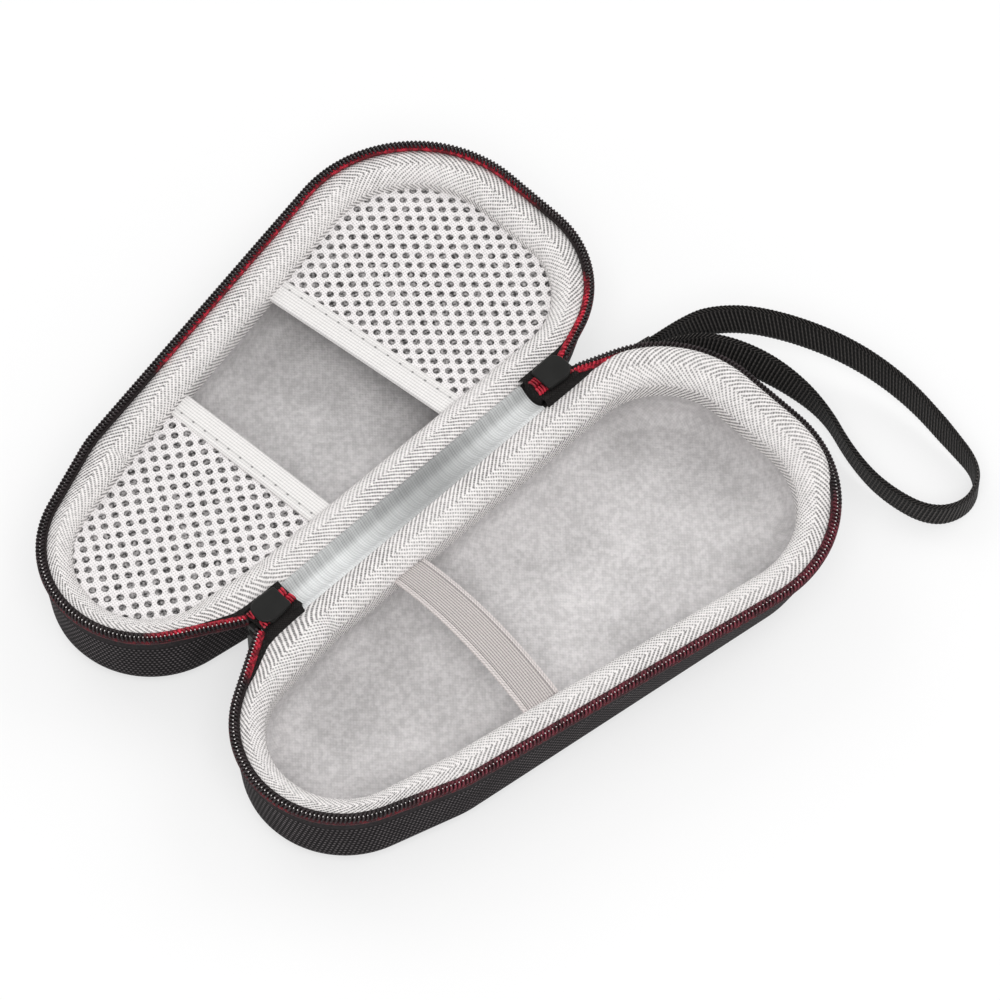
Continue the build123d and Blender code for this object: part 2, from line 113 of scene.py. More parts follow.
# The middle of the hand strap goes by these points, in metres.
STRAP_ROUTE = [
    (0.0844, -0.0083, 0.0200),
    (0.0970, -0.0098, 0.0198),
    (0.1108, -0.0170, 0.0178),
    (0.1212, -0.0302, 0.0152),
    (0.1294, -0.0470, 0.0116),
    (0.1326, -0.0650, 0.0084),
    (0.1310, -0.0830, 0.0060),
    (0.1284, -0.0978, 0.0052),
    (0.1182, -0.1030, 0.0052),
    (0.1079, -0.0978, 0.0052),
    (0.1046, -0.0825, 0.0053),
    (0.1060, -0.0685, 0.0066),
    (0.1106, -0.0535, 0.0092),
    (0.1086, -0.0385, 0.0130),
    (0.1025, -0.0250, 0.0170),
    (0.0940, -0.0155, 0.0192),
    (0.0839, -0.0101, 0.0200),
]


def colour(name, text, default):
    return FloatVectorProperty(
        name=name, description=text, default=default, size=3, min=0.0, max=1.0, subtype="COLOR"
    )


def length(name, text, default):
    return FloatProperty(
        name=name, description=text, default=default, min=0.0, subtype="DISTANCE", unit="LENGTH"
    )


class CaseSizes(bpy.types.PropertyGroup):
    binding_pitch: length("Binding rib pitch", "Distance between the ribs of the binding", 0.00104)
    binding_zone: length("Binding zone", "Width of the tape between two turns of its ribs", 0.0062)
    twill_pitch: length("Twill pitch", "Distance between the rows of dashes of the shell", 0.0015)
    tooth_pitch: length("Coil pitch", "Distance between the turns of the zip coil", 0.0012)
    hole_pitch: length("Mesh pitch", "Distance between the holes along a row of the mesh", 0.0035)
    hole_row: length("Mesh row", "Distance between the rows of holes", 0.00325)
    hole_shift: FloatProperty(
        name="Mesh shift", description="How far each row of holes lies along from the one below",
        default=-0.00074, subtype="DISTANCE", unit="LENGTH",
    )
    hole_radius: length("Mesh hole", "Radius of a hole in the mesh", 0.00113)
    hem_width: length("Hem width", "Width of the tape along a pocket's edge", 0.008)
    band_width: length("Elastic width", "Width of the elastic across the tray", 0.012)
    band_rise: length("Elastic rise", "Crown of the elastic above its ends", 0.006)
    webbing_width: length("Webbing width", "Width of the hand strap", 0.010)
    webbing_thickness: length("Webbing thickness", "Thickness of the hand strap", 0.0015)
    webbing_pitch: length("Webbing rib pitch", "Distance between the ribs of the webbing", 0.0012)


class CaseColours(bpy.types.PropertyGroup):
    shell: colour("Shell", "Black twill of the shell", (0.026, 0.023, 0.024))
    binding: colour("Binding", "Off-white herringbone of the rim", (0.82, 0.79, 0.78))
    lining: colour("Lining", "Light grey lining", (0.60, 0.58, 0.58))
    mesh: colour("Mesh", "Knitted mesh of the pockets", (0.82, 0.79, 0.79))
    hem: colour("Hem", "Ribbed tape along the pockets", (0.76, 0.74, 0.73))
    elastic: colour("Elastic", "Grey elastic across the tray", (0.50, 0.46, 0.45))
    ribbon: colour("Ribbon", "Silky cloth over the hinge", (0.62, 0.63, 0.63))
    zip_red: colour("Zip red", "Red of the zip's coil", (0.35, 0.014, 0.030))
    zip_dark: colour("Zip dark", "Darkest red of the zip's tape", (0.045, 0.006, 0.010))
    webbing: colour("Webbing", "Black webbing and cloth", (0.0200, 0.0182, 0.0174))
    enamel: colour("Enamel", "Black enamel of the sliders", (0.0085, 0.0085, 0.008))


# --- outline of a half --------------------------------------------------------------------
def arcs_at(inset, share=0.0, relief=0.0):
    """Corner arcs drawn in by inset, leaned in by a share, and let out at the narrow end."""
    arcs = {}
    for name, (x, y, radius) in ARCS.items():
        let_out = relief if name == "narrow" else 0.0
        arcs[name] = (x, y, radius - inset - LEANS[name] * share + let_out)
    return arcs


def shared_normal(start, end):
    """Direction of the normal that a line touching two arcs shares with both."""
    run_x, run_y = end[0] - start[0], end[1] - start[1]
    lean = math.asin((start[2] - end[2]) / math.hypot(run_x, run_y))
    return math.atan2(run_y, run_x) - math.pi / 2 + lean


def arc_point(arc, angle):
    return (arc[0] + arc[2] * math.cos(angle), arc[1] + arc[2] * math.sin(angle))


def rim_ring(inset, share=0.0, relief=0.0):
    """Points round the whole outline, anticlockwise, with the same count at every inset."""
    arcs = arcs_at(inset, share, relief)
    ring = [arcs[name] for name in RING]
    normals = [shared_normal(ring[i], ring[(i + 1) % 5]) for i in range(5)]
    points = []
    for i, arc in enumerate(ring):
        turn = (normals[i] - normals[i - 1]) % TAU
        for step in range(ARC_STEPS[i]):
            points.append(arc_point(arc, normals[i - 1] + turn * step / ARC_STEPS[i]))
        here = np.array(arc_point(arc, normals[i]))
        there = np.array(arc_point(ring[(i + 1) % 5], normals[i]))
        for step in range(LINE_STEPS[i]):
            points.append(tuple(here + (there - here) * step / LINE_STEPS[i]))
    return np.array(points)


def zip_line():
    """Middle of the zip round the far side, from one end of the hinge to the other."""
    arcs = arcs_at(ZIP_INSET)
    start, end = (-COIL_END[0], COIL_END[1], 0.0), (*COIL_END, 0.0)
    ring = [start, arcs["narrow"], arcs["shoulder"], arcs["wide_far"], arcs["wide_hinge"], end]
    normals = [shared_normal(ring[i], ring[i + 1]) for i in range(5)]
    corners = []
    for i in range(5):
        corners.append(arc_point(ring[i], normals[i]))
        corners.append(arc_point(ring[i + 1], normals[i]))
    points = [corners[0]]
    for i in range(5):
        here, there = np.array(corners[2 * i]), np.array(corners[2 * i + 1])
        steps = max(1, int(np.hypot(*(there - here)) / 2.0))
        points += [tuple(here + (there - here) * (k + 1) / steps) for k in range(steps)]
        if i < 4:
            arc = ring[i + 1]
            turn = (normals[i + 1] - normals[i]) % TAU
            steps = max(2, int(turn * arc[2] / 2.0))
            points += [arc_point(arc, normals[i] + turn * (k + 1) / steps) for k in range(steps)]
    return even_line(np.array(points), 1.0)


def tucked(points):
    """1 round the wide end, where the tray's binding bulges over the coil's inner row; else 0."""
    along = np.clip((points[:, 0] - 62.0) / 12.0, 0.0, 1.0)
    return along * np.clip((points[:, 1] + 84.0) / 12.0, 0.0, 1.0)


def sampled(places, known, values):
    """Rows of values at places, from those at known places."""
    return np.stack([np.interp(places, known, column) for column in values.T], axis=-1)


def line_lengths(points):
    runs = np.linalg.norm(np.diff(points, axis=0), axis=1)
    return np.concatenate([[0.0], np.cumsum(runs)])


def even_line(points, step):
    """The same line with evenly spaced points."""
    places = line_lengths(points)
    count = max(2, int(round(places[-1] / step)))
    return sampled(np.linspace(0.0, places[-1], count + 1), places, points)


def directions(points):
    """Unit vectors along a line."""
    ahead = np.gradient(points, axis=0)
    return ahead / np.linalg.norm(ahead, axis=1)[:, None]


def outward(points):
    """Unit normals to the right of an anticlockwise line, seen from above."""
    ahead = directions(points)
    return np.stack([ahead[:, 1], -ahead[:, 0]], axis=1)


# --- making pieces ------------------------------------------------------------------------
def fresh():
    """Object mode with nothing selected."""
    if bpy.context.object and bpy.context.object.mode != "OBJECT":
        bpy.ops.object.mode_set(mode="OBJECT")
    bpy.ops.object.select_all(action="DESELECT")


def only(piece):
    fresh()
    piece.select_set(True)
    bpy.context.view_layer.objects.active = piece
    return piece


def in_edit(piece, *steps):
    """Runs edit-mode steps on a whole piece."""
    only(piece)
    bpy.ops.object.mode_set(mode="EDIT")
    bpy.ops.mesh.select_all(action="SELECT")
    for step in steps:
        step()
    bpy.ops.object.mode_set(mode="OBJECT")


def weld(reach=1e-6):
    bpy.ops.mesh.select_all(action="SELECT")
    bpy.ops.mesh.remove_doubles(threshold=reach)


def face_out():
    bpy.ops.mesh.select_all(action="SELECT")
    bpy.ops.mesh.normals_make_consistent(inside=False)


def cap_ends():
    """Closes every open edge loop with one face."""
    bpy.ops.mesh.select_all(action="DESELECT")
    bpy.ops.mesh.select_mode(type="EDGE")
    bpy.ops.mesh.select_non_manifold(extend=False)
    bpy.ops.mesh.fill_holes(sides=0)
    bpy.ops.mesh.select_mode(type="VERT")


def woven(name, points, along, across, wrap_along=False, wrap_across=False, caps=False):
    """A grid of cloth laid through points[i][j], its UV map in metres along and across."""
    points = np.asarray(points)
    count_u, count_v = points.shape[0] - 1, points.shape[1] - 1
    fresh()
    bpy.ops.mesh.primitive_grid_add(x_subdivisions=count_u, y_subdivisions=count_v, size=2)
    piece = bpy.context.object
    piece.name = piece.data.name = name
    mesh = piece.data
    flat = np.zeros(len(mesh.vertices) * 3)
    mesh.vertices.foreach_get("co", flat)
    flat = flat.reshape(-1, 3)
    rows = np.rint((flat[:, 0] + 1) / 2 * count_u).astype(int)
    columns = np.rint((flat[:, 1] + 1) / 2 * count_v).astype(int)
    mesh.vertices.foreach_set("co", points[rows, columns].reshape(-1))
    corners = np.zeros(len(mesh.loops), int)
    mesh.loops.foreach_get("vertex_index", corners)
    uv = np.stack([np.asarray(along)[rows[corners]], np.asarray(across)[columns[corners]]], axis=1)
    layer = mesh.uv_layers.active or mesh.uv_layers.new(name="UVMap")
    layer.name = "UVMap"
    layer.data.foreach_set("uv", uv.reshape(-1))
    steps = [weld] if wrap_along or wrap_across else []
    if caps:
        steps.append(cap_ends)
    if (wrap_across and (wrap_along or caps)) or caps:
        steps.append(face_out)
    if steps:
        in_edit(piece, *steps)
    mesh.update()
    return piece


def drop_scraps(piece):
    """Deletes what isn't joined to the face nearest the middle."""
    only(piece)
    mesh = piece.data
    middle = Vector(np.mean([face.center for face in mesh.polygons], axis=0))
    nearest = min(mesh.polygons, key=lambda face: (face.center - middle).length)
    for parts in (mesh.vertices, mesh.edges, mesh.polygons):
        parts.foreach_set("select", [False] * len(parts))
    for index in nearest.vertices:
        mesh.vertices[index].select = True
    bpy.ops.object.mode_set(mode="EDIT")
    bpy.ops.mesh.select_mode(type="VERT")
    bpy.ops.mesh.select_linked()
    bpy.ops.mesh.select_all(action="INVERT")
    bpy.ops.mesh.delete(type="VERT")
    bpy.ops.object.mode_set(mode="OBJECT")


def repeated(name, points, size, faces):
    """A piece of equal parts, with the faces of one part over each size points in turn."""
    mesh = bpy.data.meshes.new(name)
    starts = range(0, len(points), size)
    copies = [tuple(start + index for index in face) for start in starts for face in faces]
    mesh.from_pydata([tuple(point) for point in points], [], copies)
    mesh.uv_layers.new(name="UVMap")
    piece = bpy.data.objects.new(name, mesh)
    bpy.context.scene.collection.objects.link(piece)
    return piece


def plane_uv(piece, corners=0):
    """Lays the UV map of faces with more corners than this in the plane, in metres."""
    mesh = piece.data
    layer = mesh.uv_layers.active.data
    for face in mesh.polygons:
        if len(face.vertices) > corners:
            for loop in face.loop_indices:
                place = mesh.vertices[mesh.loops[loop].vertex_index].co
                layer[loop].uv = (place.x, place.y)


def modified(piece, kind, **settings):
    """Adds one modifier with its settings and applies it."""
    only(piece)
    modifier = piece.modifiers.new(kind.lower(), kind)
    for key, value in settings.items():
        setattr(modifier, key, value)
    bpy.ops.object.modifier_apply(modifier=modifier.name)


def thicken(piece, thickness):
    """Gives cloth its thickness, behind its face."""
    modified(piece, "SOLIDIFY", thickness=thickness, offset=-1.0)


def round_edges(piece, width, segments=2):
    limit = math.radians(40)
    modified(
        piece, "BEVEL", width=width, segments=segments, limit_method="ANGLE", angle_limit=limit
    )


def smooth(piece, degrees=50):
    only(piece)
    bpy.ops.object.shade_smooth_by_angle(angle=math.radians(degrees))


def mirrored(points, lid):
    """Points of the tray half, or their mirror in the lid half."""
    points = np.array(points, float)
    if lid:
        points[..., 1] *= -1
    return points


def settle(piece, body, look, slot, *nodes):
    """Gives a finished piece its look and its body if one carries it, and hides the nodes it stands
    for.
    """
    piece.data.materials.clear()
    piece.data.materials.append(finish(look))
    if body:
        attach(piece, body)
    if nodes:
        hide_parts(*nodes)


def face_up(piece):
    """Turns cloth over if it faces down."""
    if sum(face.normal.z * face.area for face in piece.data.polygons) < 0:
        in_edit(piece, bpy.ops.mesh.flip_normals)


# --- materials ----------------------------------------------------------------------------
SOFT_END = 0.004


class Yarn:
    """A number in a material, which Python's operators combine."""

    def __init__(self, nodes, socket):
        self.nodes, self.socket = nodes, socket

    def op(self, operation, other=None, swapped=False):
        values = [self] if other is None else ([other, self] if swapped else [self, other])
        return self.nodes.number("ShaderNodeMath", {"operation": operation}, *values)

    def __add__(self, other): return self.op("ADD", other)
    def __radd__(self, other): return self.op("ADD", other, True)
    def __sub__(self, other): return self.op("SUBTRACT", other)
    def __rsub__(self, other): return self.op("SUBTRACT", other, True)
    def __mul__(self, other): return self.op("MULTIPLY", other)
    def __rmul__(self, other): return self.op("MULTIPLY", other, True)
    def __truediv__(self, other): return self.op("DIVIDE", other)
    def __rtruediv__(self, other): return self.op("DIVIDE", other, True)

    def sine(self): return self.op("SINE")
    def fraction(self): return self.op("FRACT")
    def floor(self): return self.op("FLOOR")
    def size(self): return self.op("ABSOLUTE")
    def zigzag(self, reach): return self.op("PINGPONG", reach)
    def at_most(self, other): return self.op("MINIMUM", other)
    def wave(self, pitch): return (self * (TAU / pitch)).sine()

    def ramp(self, low, high):
        """0 below low, 1 above high, smooth between."""
        settings = {"interpolation_type": "SMOOTHSTEP"}
        return self.nodes.number("ShaderNodeMapRange", settings, self, low, high, 0.0, 1.0)

    def within(self, start, end):
        """1 between two places, with soft ends; else 0."""
        begun = self.ramp(start - SOFT_END, start + SOFT_END)
        return begun * (1.0 - self.ramp(end - SOFT_END, end + SOFT_END))


class Nodes:
    """The nodes of a material or a world."""

    def __init__(self, tree):
        self.tree = tree

    def node(self, kind, settings, *values, **named):
        made = self.tree.nodes.new(kind)
        for key, value in settings.items():
            setattr(made, key, value)
        for place, value in enumerate(values):
            self.plug(made.inputs[place], value)
        for name, value in named.items():
            self.plug(made.inputs[name.replace("_", " ")], value)
        return made

    def plug(self, socket, value):
        if isinstance(value, Yarn):
            self.tree.links.new(value.socket, socket)
        elif isinstance(value, bpy.types.NodeSocket):
            self.tree.links.new(value, socket)
        elif socket.type == "RGBA":
            socket.default_value = (*value[:3], 1.0)
        else:
            socket.default_value = value

    def number(self, kind, settings, *values):
        return Yarn(self, self.node(kind, settings, *values).outputs[0])

    def seen(self):
        """1 for what the camera sees, straight, reflected or through something clear; else 0."""
        rays = self.node("ShaderNodeLightPath", {}).outputs
        kinds = ("Camera", "Glossy", "Transmission")
        straight, glossy, clear = (Yarn(self, rays[f"Is {kind} Ray"]) for kind in kinds)
        return (straight + glossy + clear).at_most(1.0)


class Cloth(Nodes):
    """A material on one shader."""

    def __init__(self, name, gloss=0.3):
        self.material = bpy.data.materials.new(name)
        self.material.use_nodes = True
        super().__init__(self.material.node_tree)
        self.tree.nodes.clear()
        self.shader = self.node("ShaderNodeBsdfPrincipled", {}, Specular_IOR_Level=gloss)
        self.output = self.node("ShaderNodeOutputMaterial", {}, Surface=self.shader.outputs[0])

    def uv(self):
        """Distance along and across the cloth, in metres."""
        uv_map = self.node("ShaderNodeUVMap", {"uv_map": "UVMap"}).outputs[0]
        parts = self.node("ShaderNodeSeparateXYZ", {}, uv_map).outputs
        return Yarn(self, parts[0]), Yarn(self, parts[1])

    def place(self):
        return self.node("ShaderNodeTexCoord", {}).outputs["Object"]

    def noise(self, scale, detail=2.0):
        made = self.node("ShaderNodeTexNoise", {}, Vector=self.place(), Scale=scale, Detail=detail)
        return Yarn(self, made.outputs["Fac"])

    def blend(self, low, high, factor):
        made = self.node("ShaderNodeMix", {"data_type": "RGBA"})
        self.plug(made.inputs[0], factor)
        self.plug(made.inputs[6], low)
        self.plug(made.inputs[7], high)
        return made.outputs[2]

    def done(self, shade, rough, relief, depth, strength, sheen=0.0):
        """Fills the shader: relief is the height that the bump reads, depth its scale in metres."""
        self.shader.inputs["Sheen Weight"].default_value = sheen
        bump = self.node("ShaderNodeBump", {}, Strength=strength, Distance=depth, Height=relief)
        inputs = {"Base Color": shade, "Roughness": rough, "Normal": bump.outputs[0]}
        for name, value in inputs.items():
            self.plug(self.shader.inputs[name], value)
        return self.material


def tint(shade, factor):
    return tuple(min(1.0, value * factor) for value in shade)


def twill_finish(shades, sizes):
    """Rows of short light dashes on black, and a plain band below the zip."""
    cloth = Cloth("black_twill", gloss=0.07)
    along, across = cloth.uv()
    pitch = sizes.twill_pitch
    row = (across / pitch).floor()
    dash = (along / (pitch * 0.86) + row * 0.36).fraction() - 0.5
    thread = (across / pitch).fraction() - 0.5
    light = (1.0 - dash.size().ramp(0.14, 0.34)) * (1.0 - thread.size().ramp(0.10, 0.34))
    height = cloth.node("ShaderNodeSeparateXYZ", {}, cloth.place()).outputs[2]
    plain = Yarn(cloth, height).ramp(0.0226, 0.0232)
    worn = cloth.noise(75.0, 3.0).ramp(0.3, 0.75)
    lint = cloth.noise(1300.0, 2.0).ramp(0.35, 0.8)
    rows = light * (0.6 + worn * 0.4) + lint * 0.10
    strength = rows * (1.0 - plain) + plain * (0.10 + lint * 0.12)
    shade = cloth.blend(tint(shades.shell, 0.15), tint(shades.shell, 6.0), strength.at_most(1.0))
    return cloth.done(shade, 0.75 + light * 0.1, light * (1.0 - plain) + lint * 0.3, 0.00016, 0.7)


def herringbone_finish(shades, sizes):
    cloth = Cloth("herringbone_tape")
    along, across = cloth.uv()
    pitch, zone = sizes.binding_pitch, sizes.binding_zone
    fold = (across + zone).zigzag(zone)
    ribs = (along * 0.62 + fold * 0.78).wave(pitch)
    dots = (along * 0.7812 - fold * 0.62).wave(pitch * 0.7)
    falling = ((across + zone) / (2 * zone)).fraction().ramp(0.48, 0.52)
    fray = cloth.noise(1100.0, 2.0).ramp(0.3, 0.75)
    grime = cloth.noise(38.0, 3.0).ramp(0.3, 0.8)
    groove = (fray * 0.6 - ribs).ramp(-0.25, 0.9)
    pricks = (dots + fray * 0.4).ramp(-0.5, 0.8)
    dark = groove * (pricks * (0.66 - falling * 0.2) + falling * 0.36 + 0.12)
    dark = dark * (0.74 + grime * 0.42) + fray * 0.14
    shade = cloth.blend(tint(shades.binding, 1.1), tint(shades.binding, 0.16), dark.at_most(0.95))
    return cloth.done(shade, 0.85, ribs * 0.5 - groove * pricks * 0.6, 0.0002, 0.7, sheen=0.1)


def lining_finish(shades):
    cloth = Cloth("grey_lining")
    along, across = cloth.uv()
    knit = along.wave(0.0011) * across.wave(0.0012)
    nap = cloth.noise(650.0, 4.0).ramp(0.3, 0.72)
    cloud = cloth.noise(55.0, 3.0).ramp(0.3, 0.72)
    light = cloud * 0.4 + nap * 0.45 + knit.ramp(-0.4, 0.9) * 0.15
    shade = cloth.blend(tint(shades.lining, 0.72), tint(shades.lining, 1.24), light)
    return cloth.done(shade, 0.9, knit * 0.3 + nap, 0.00014, 0.7, sheen=0.2)


def mesh_finish(shades):
    cloth = Cloth("knitted_mesh")
    along, across = cloth.uv()
    loops = (along * 0.8 + across * 0.6).wave(0.0011) * (along * 0.6 - across * 0.8).wave(0.0011)
    low = (0.0 - loops).ramp(0.05, 0.7)
    stray = cloth.noise(1500.0, 2.0).ramp(0.45, 0.75)
    shade = cloth.blend(tint(shades.mesh, 1.1), tint(shades.mesh, 0.38), low * 0.5 + stray * 0.22)
    return cloth.done(shade, 0.85, loops + stray * 0.5, 0.00014, 0.7, sheen=0.1)


def backing_finish(shades):
    cloth = Cloth("mesh_backing")
    along, across = cloth.uv()
    knots = (along + across * 0.5).wave(0.0023) * (across - along * 0.4).wave(0.0019)
    flecks = cloth.noise(1150.0, 2.0).ramp(0.38, 0.66)
    light = flecks * 0.55 + knots.ramp(-0.2, 0.7) * 0.25
    # Painted shade: the backing is the mesh's own off-white darkened, for the lower layer seen in
    # shade through the holes; its flecks and knots are its knit.
    shade = cloth.blend(tint(shades.mesh, 0.05), tint(shades.mesh, 0.85), light)
    return cloth.done(shade, 0.9, knots + flecks, 0.0002, 0.8)


def hem_finish(shades):
    """Fine lengthwise ribs, with a sunk row of stitches near the mesh."""
    cloth = Cloth("hem_tape")
    along, across = cloth.uv()
    ribs, weft = across.wave(0.00092), along.wave(0.0008)
    row = (across - 0.0064).size()
    sunk = 1.0 - row.ramp(0.0, 0.0005)
    spot = (along / 0.0045).fraction() - 0.5
    prick = (1.0 - row.ramp(0.00012, 0.00036)) * (1.0 - spot.size().ramp(0.05, 0.10))
    dark = (0.0 - ribs).ramp(0.1, 0.9) * 0.26 + (0.0 - weft).ramp(0.3, 1.0) * 0.12
    dark = dark + sunk * 0.14 + prick * 0.7
    shade = cloth.blend(tint(shades.hem, 1.14), tint(shades.hem, 0.25), dark.at_most(0.9))
    return cloth.done(shade, 0.85, ribs * 0.4 + weft * 0.2 - sunk - prick, 0.0002, 0.8, sheen=0.1)


def elastic_finish(shades):
    """Fine lengthwise ribs between two lighter braided edges."""
    cloth = Cloth("grey_elastic")
    along, across = cloth.uv()
    edge = (across - 0.006).size()
    middle = 1.0 - edge.ramp(0.0043, 0.0046)
    ribs, weft = across.wave(0.00074), along.wave(0.0008)
    line = 1.0 - (edge - 0.0045).size().ramp(0.0, 0.00022)
    inner = (1.0 - (edge - 0.0052).size().ramp(0.0, 0.0002)) * 0.3
    braid = (along + edge).wave(0.0010)
    dark = middle * ((0.0 - ribs).ramp(0.0, 0.9) * 0.5 + (0.0 - weft).ramp(0.1, 1.0) * 0.08 + 0.16)
    dark = dark + (1.0 - middle) * (0.0 - braid).ramp(0.1, 1.0) * 0.25 + line * 0.75 + inner
    shade = cloth.blend(tint(shades.elastic, 1.5), tint(shades.elastic, 0.16), dark.at_most(0.92))
    relief = ribs * 0.5 + weft * 0.3 + braid * 0.4 - line - inner
    return cloth.done(shade, 0.75, relief, 0.00018, 0.8, sheen=0.12)


def ribbon_finish(shades):
    """Fine silky ribs across the hinge, with painted shade towards its sagging middle and a painted
    shadow along the lid's edge.
    """
    cloth = Cloth("silky_ribbon")
    along, across = cloth.uv()
    ribs = along.wave(0.00078)
    settings = {"noise_dimensions": "2D"}
    drawn = cloth.node("ShaderNodeCombineXYZ", {}, along * 1100.0, across * 60.0)
    streak = cloth.node("ShaderNodeTexNoise", settings, drawn.outputs[0], Scale=1.0, Detail=3.0)
    streaks = Yarn(cloth, streak.outputs["Fac"]).ramp(0.3, 0.72)
    fine = across.wave(0.0007)
    # Painted shadow along the lid's edge, where the ribbon dips beside the lid's binding.
    painted_edge_shadow = across.ramp(0.0066, 0.0092)
    dark = (0.0 - ribs).ramp(0.0, 1.0) * 0.22 + streaks * 0.18
    dark = dark + (0.0 - fine).ramp(0.3, 1.0) * 0.12 + painted_edge_shadow * 0.42
    shade = cloth.blend(tint(shades.ribbon, 1.30), tint(shades.ribbon, 0.38), dark.at_most(1.0))
    # Painted shade: the ribbon's sagging middle is darkened towards a dark tint of its own colour.
    middle = 1.0 - (along - 0.053).size().ramp(0.0, 0.040)
    shade = cloth.blend(shade, tint(shades.ribbon, 0.25), middle * 0.6)
    return cloth.done(shade, 0.5, ribs + streaks * 0.7, 0.0001, 0.5, sheen=0.2)


def zip_tape_finish(name, shades, spans):
    """Dark red outside with redder flecks, black between the rows of the coil, and its zones."""
    cloth = Cloth(name)
    along, across = cloth.uv()
    weave = (along + across).wave(0.0011) * (along - across).wave(0.0011)
    flecks = cloth.noise(650.0, 2.0).ramp(0.45, 0.62)
    patch = cloth.noise(60.0, 2.0).ramp(0.35, 0.7)
    valley, inner = across.ramp(0.0030, 0.0034), across.ramp(0.0041, 0.0046)
    fleck = flecks * (0.35 + patch * 0.5)
    red = cloth.blend(tint(shades.zip_dark, 0.8), tint(shades.zip_red, 0.62), fleck)
    shade = cloth.blend(red, (0.006, 0.004, 0.004), valley)
    for start, end, other in spans:
        flecked = cloth.blend(tint(other, 0.42), tint(other, 1.7), flecks)
        shade = cloth.blend(shade, flecked, along.within(start, end) * inner)
    shade = cloth.blend(shade, tint(shades.zip_dark, 0.5), (0.0 - weave).ramp(0.0, 0.7) * 0.5)
    return cloth.done(shade, 0.7, weave + flecks, 0.00018, 0.8)


def coil_finish(name, plain, zones=()):
    """Shiny thread; each zone is where it starts and ends along the zip, and its shade there."""
    cloth = Cloth(name)
    along, _ = cloth.uv()
    patch = cloth.noise(420.0, 2.0).ramp(0.3, 0.7)
    shade = cloth.blend(tint(plain, 0.5), tint(plain, 1.8), patch)
    for start, end, other in zones:
        thread = cloth.blend(tint(other, 0.5), tint(other, 2.0), patch)
        shade = cloth.blend(shade, thread, along.within(start, end))
    return cloth.done(shade, 0.35 + patch * 0.15, cloth.noise(2500.0), 0.00004, 0.4)


def stitch_finish(name, bright):
    """White stitches, greyer beyond the length given as bright."""
    cloth = Cloth(name)
    along, _ = cloth.uv()
    grain = cloth.noise(3000.0, 2.0)
    white = cloth.blend((0.62, 0.58, 0.57), (0.92, 0.90, 0.88), grain)
    dull = cloth.blend((0.05, 0.05, 0.05), (0.34, 0.33, 0.32), grain)
    shade = cloth.blend(white, dull, along.ramp(bright, bright + 0.02))
    return cloth.done(shade, 0.6, grain, 0.00005, 0.5)


def black_cloth_finish(shades):
    cloth = Cloth("black_cloth", gloss=0.12)
    along, across = cloth.uv()
    weave = along.wave(0.0009) * across.wave(0.0009)
    lint = cloth.noise(700.0, 3.0).ramp(0.4, 0.8)
    light = weave.ramp(-0.2, 0.9) * 0.6 + lint * 0.25
    shade = cloth.blend(tint(shades.webbing, 0.45), tint(shades.webbing, 1.7), light)
    return cloth.done(shade, 0.85, weave, 0.00015, 0.7)


def webbing_finish(shades, sizes):
    """Cross ribs between two braided edges."""
    cloth = Cloth("black_webbing", gloss=0.15)
    along, across = cloth.uv()
    pitch, half = sizes.webbing_pitch, sizes.webbing_width / 2
    edge = (across - half).size()
    braid = edge.ramp(half * 0.72, half * 0.80)
    ribs = (along + across * 0.25).wave(pitch)
    cord = across.wave(0.0014)
    plait = (along + edge * 1.4).wave(pitch)
    lint = cloth.noise(900.0, 3.0).ramp(0.35, 0.8)
    face = ribs * (1.0 - braid) + plait * braid
    lit = face.ramp(-0.3, 0.95) * (0.62 + cord.ramp(-0.6, 0.9) * 0.28 + lint * 0.2)
    shade = cloth.blend(tint(shades.webbing, 0.18), tint(shades.webbing, 4.3), lit.at_most(1.0))
    return cloth.done(shade, 0.62, face + cord * 0.25, 0.0003, 1.0)


def enamel_finish(name, shade):
    cloth = Cloth(name, gloss=0.15)
    wear = cloth.noise(220.0, 3.0)
    scratch = cloth.noise(1800.0, 2.0).ramp(0.6, 0.75)
    paint = cloth.blend(tint(shade, 0.8), tint(shade, 1.6), wear)
    rough = 0.32 + wear * 0.14 + scratch * 0.12
    return cloth.done(paint, rough, wear + scratch * 0.3, 0.00005, 0.4)


finishes = {}


def zones(shade, *spans):
    """Spans in millimetres along the zip, all of one shade; the first may start before it."""
    return tuple(((start or -20.0) * MM, end * MM, shade) for start, end in spans)


def finish(name):
    """Each finish is made once, from the colours and sizes of the scene."""
    if not finishes:
        shades, sizes = bpy.context.scene.case_colours, bpy.context.scene.case_sizes
        base_red = zones(shades.zip_red, (0.0, 14), (338, 400))
        base_maroon = zones(tint(shades.zip_dark, 1.7), (98, 250))
        lid_red = zones(shades.zip_red, (0.0, 26), (143, 292), (324, 400))
        finishes.update(
            twill=twill_finish(shades, sizes),
            herringbone=herringbone_finish(shades, sizes),
            lining=lining_finish(shades),
            mesh=mesh_finish(shades),
            backing=backing_finish(shades),
            hem=hem_finish(shades),
            elastic=elastic_finish(shades),
            ribbon=ribbon_finish(shades),
            base_zip_tape=zip_tape_finish("base_zip_tape", shades, base_red + base_maroon),
            lid_zip_tape=zip_tape_finish("lid_zip_tape", shades, lid_red),
            red_coil=coil_finish("red_coil", shades.zip_red),
            lid_inner_coil=coil_finish("lid_inner_coil", BLACK, lid_red[::2]),
            lid_outer_coil=coil_finish("lid_outer_coil", BLACK),
            base_inner_coil=coil_finish("base_inner_coil", BLACK, base_red + base_maroon),
            base_outer_coil=coil_finish("base_outer_coil", BLACK, base_maroon),
            base_stitch=stitch_finish("base_stitch", 0.245),
            lid_stitch=stitch_finish("lid_stitch", 0.060),
            black_cloth=black_cloth_finish(shades),
            webbing=webbing_finish(shades, sizes),
            enamel=enamel_finish("black_enamel", shades.enamel),
            tab_enamel=enamel_finish("grey_enamel", tint(shades.enamel, 1.8)),
        )
    return finishes[name]


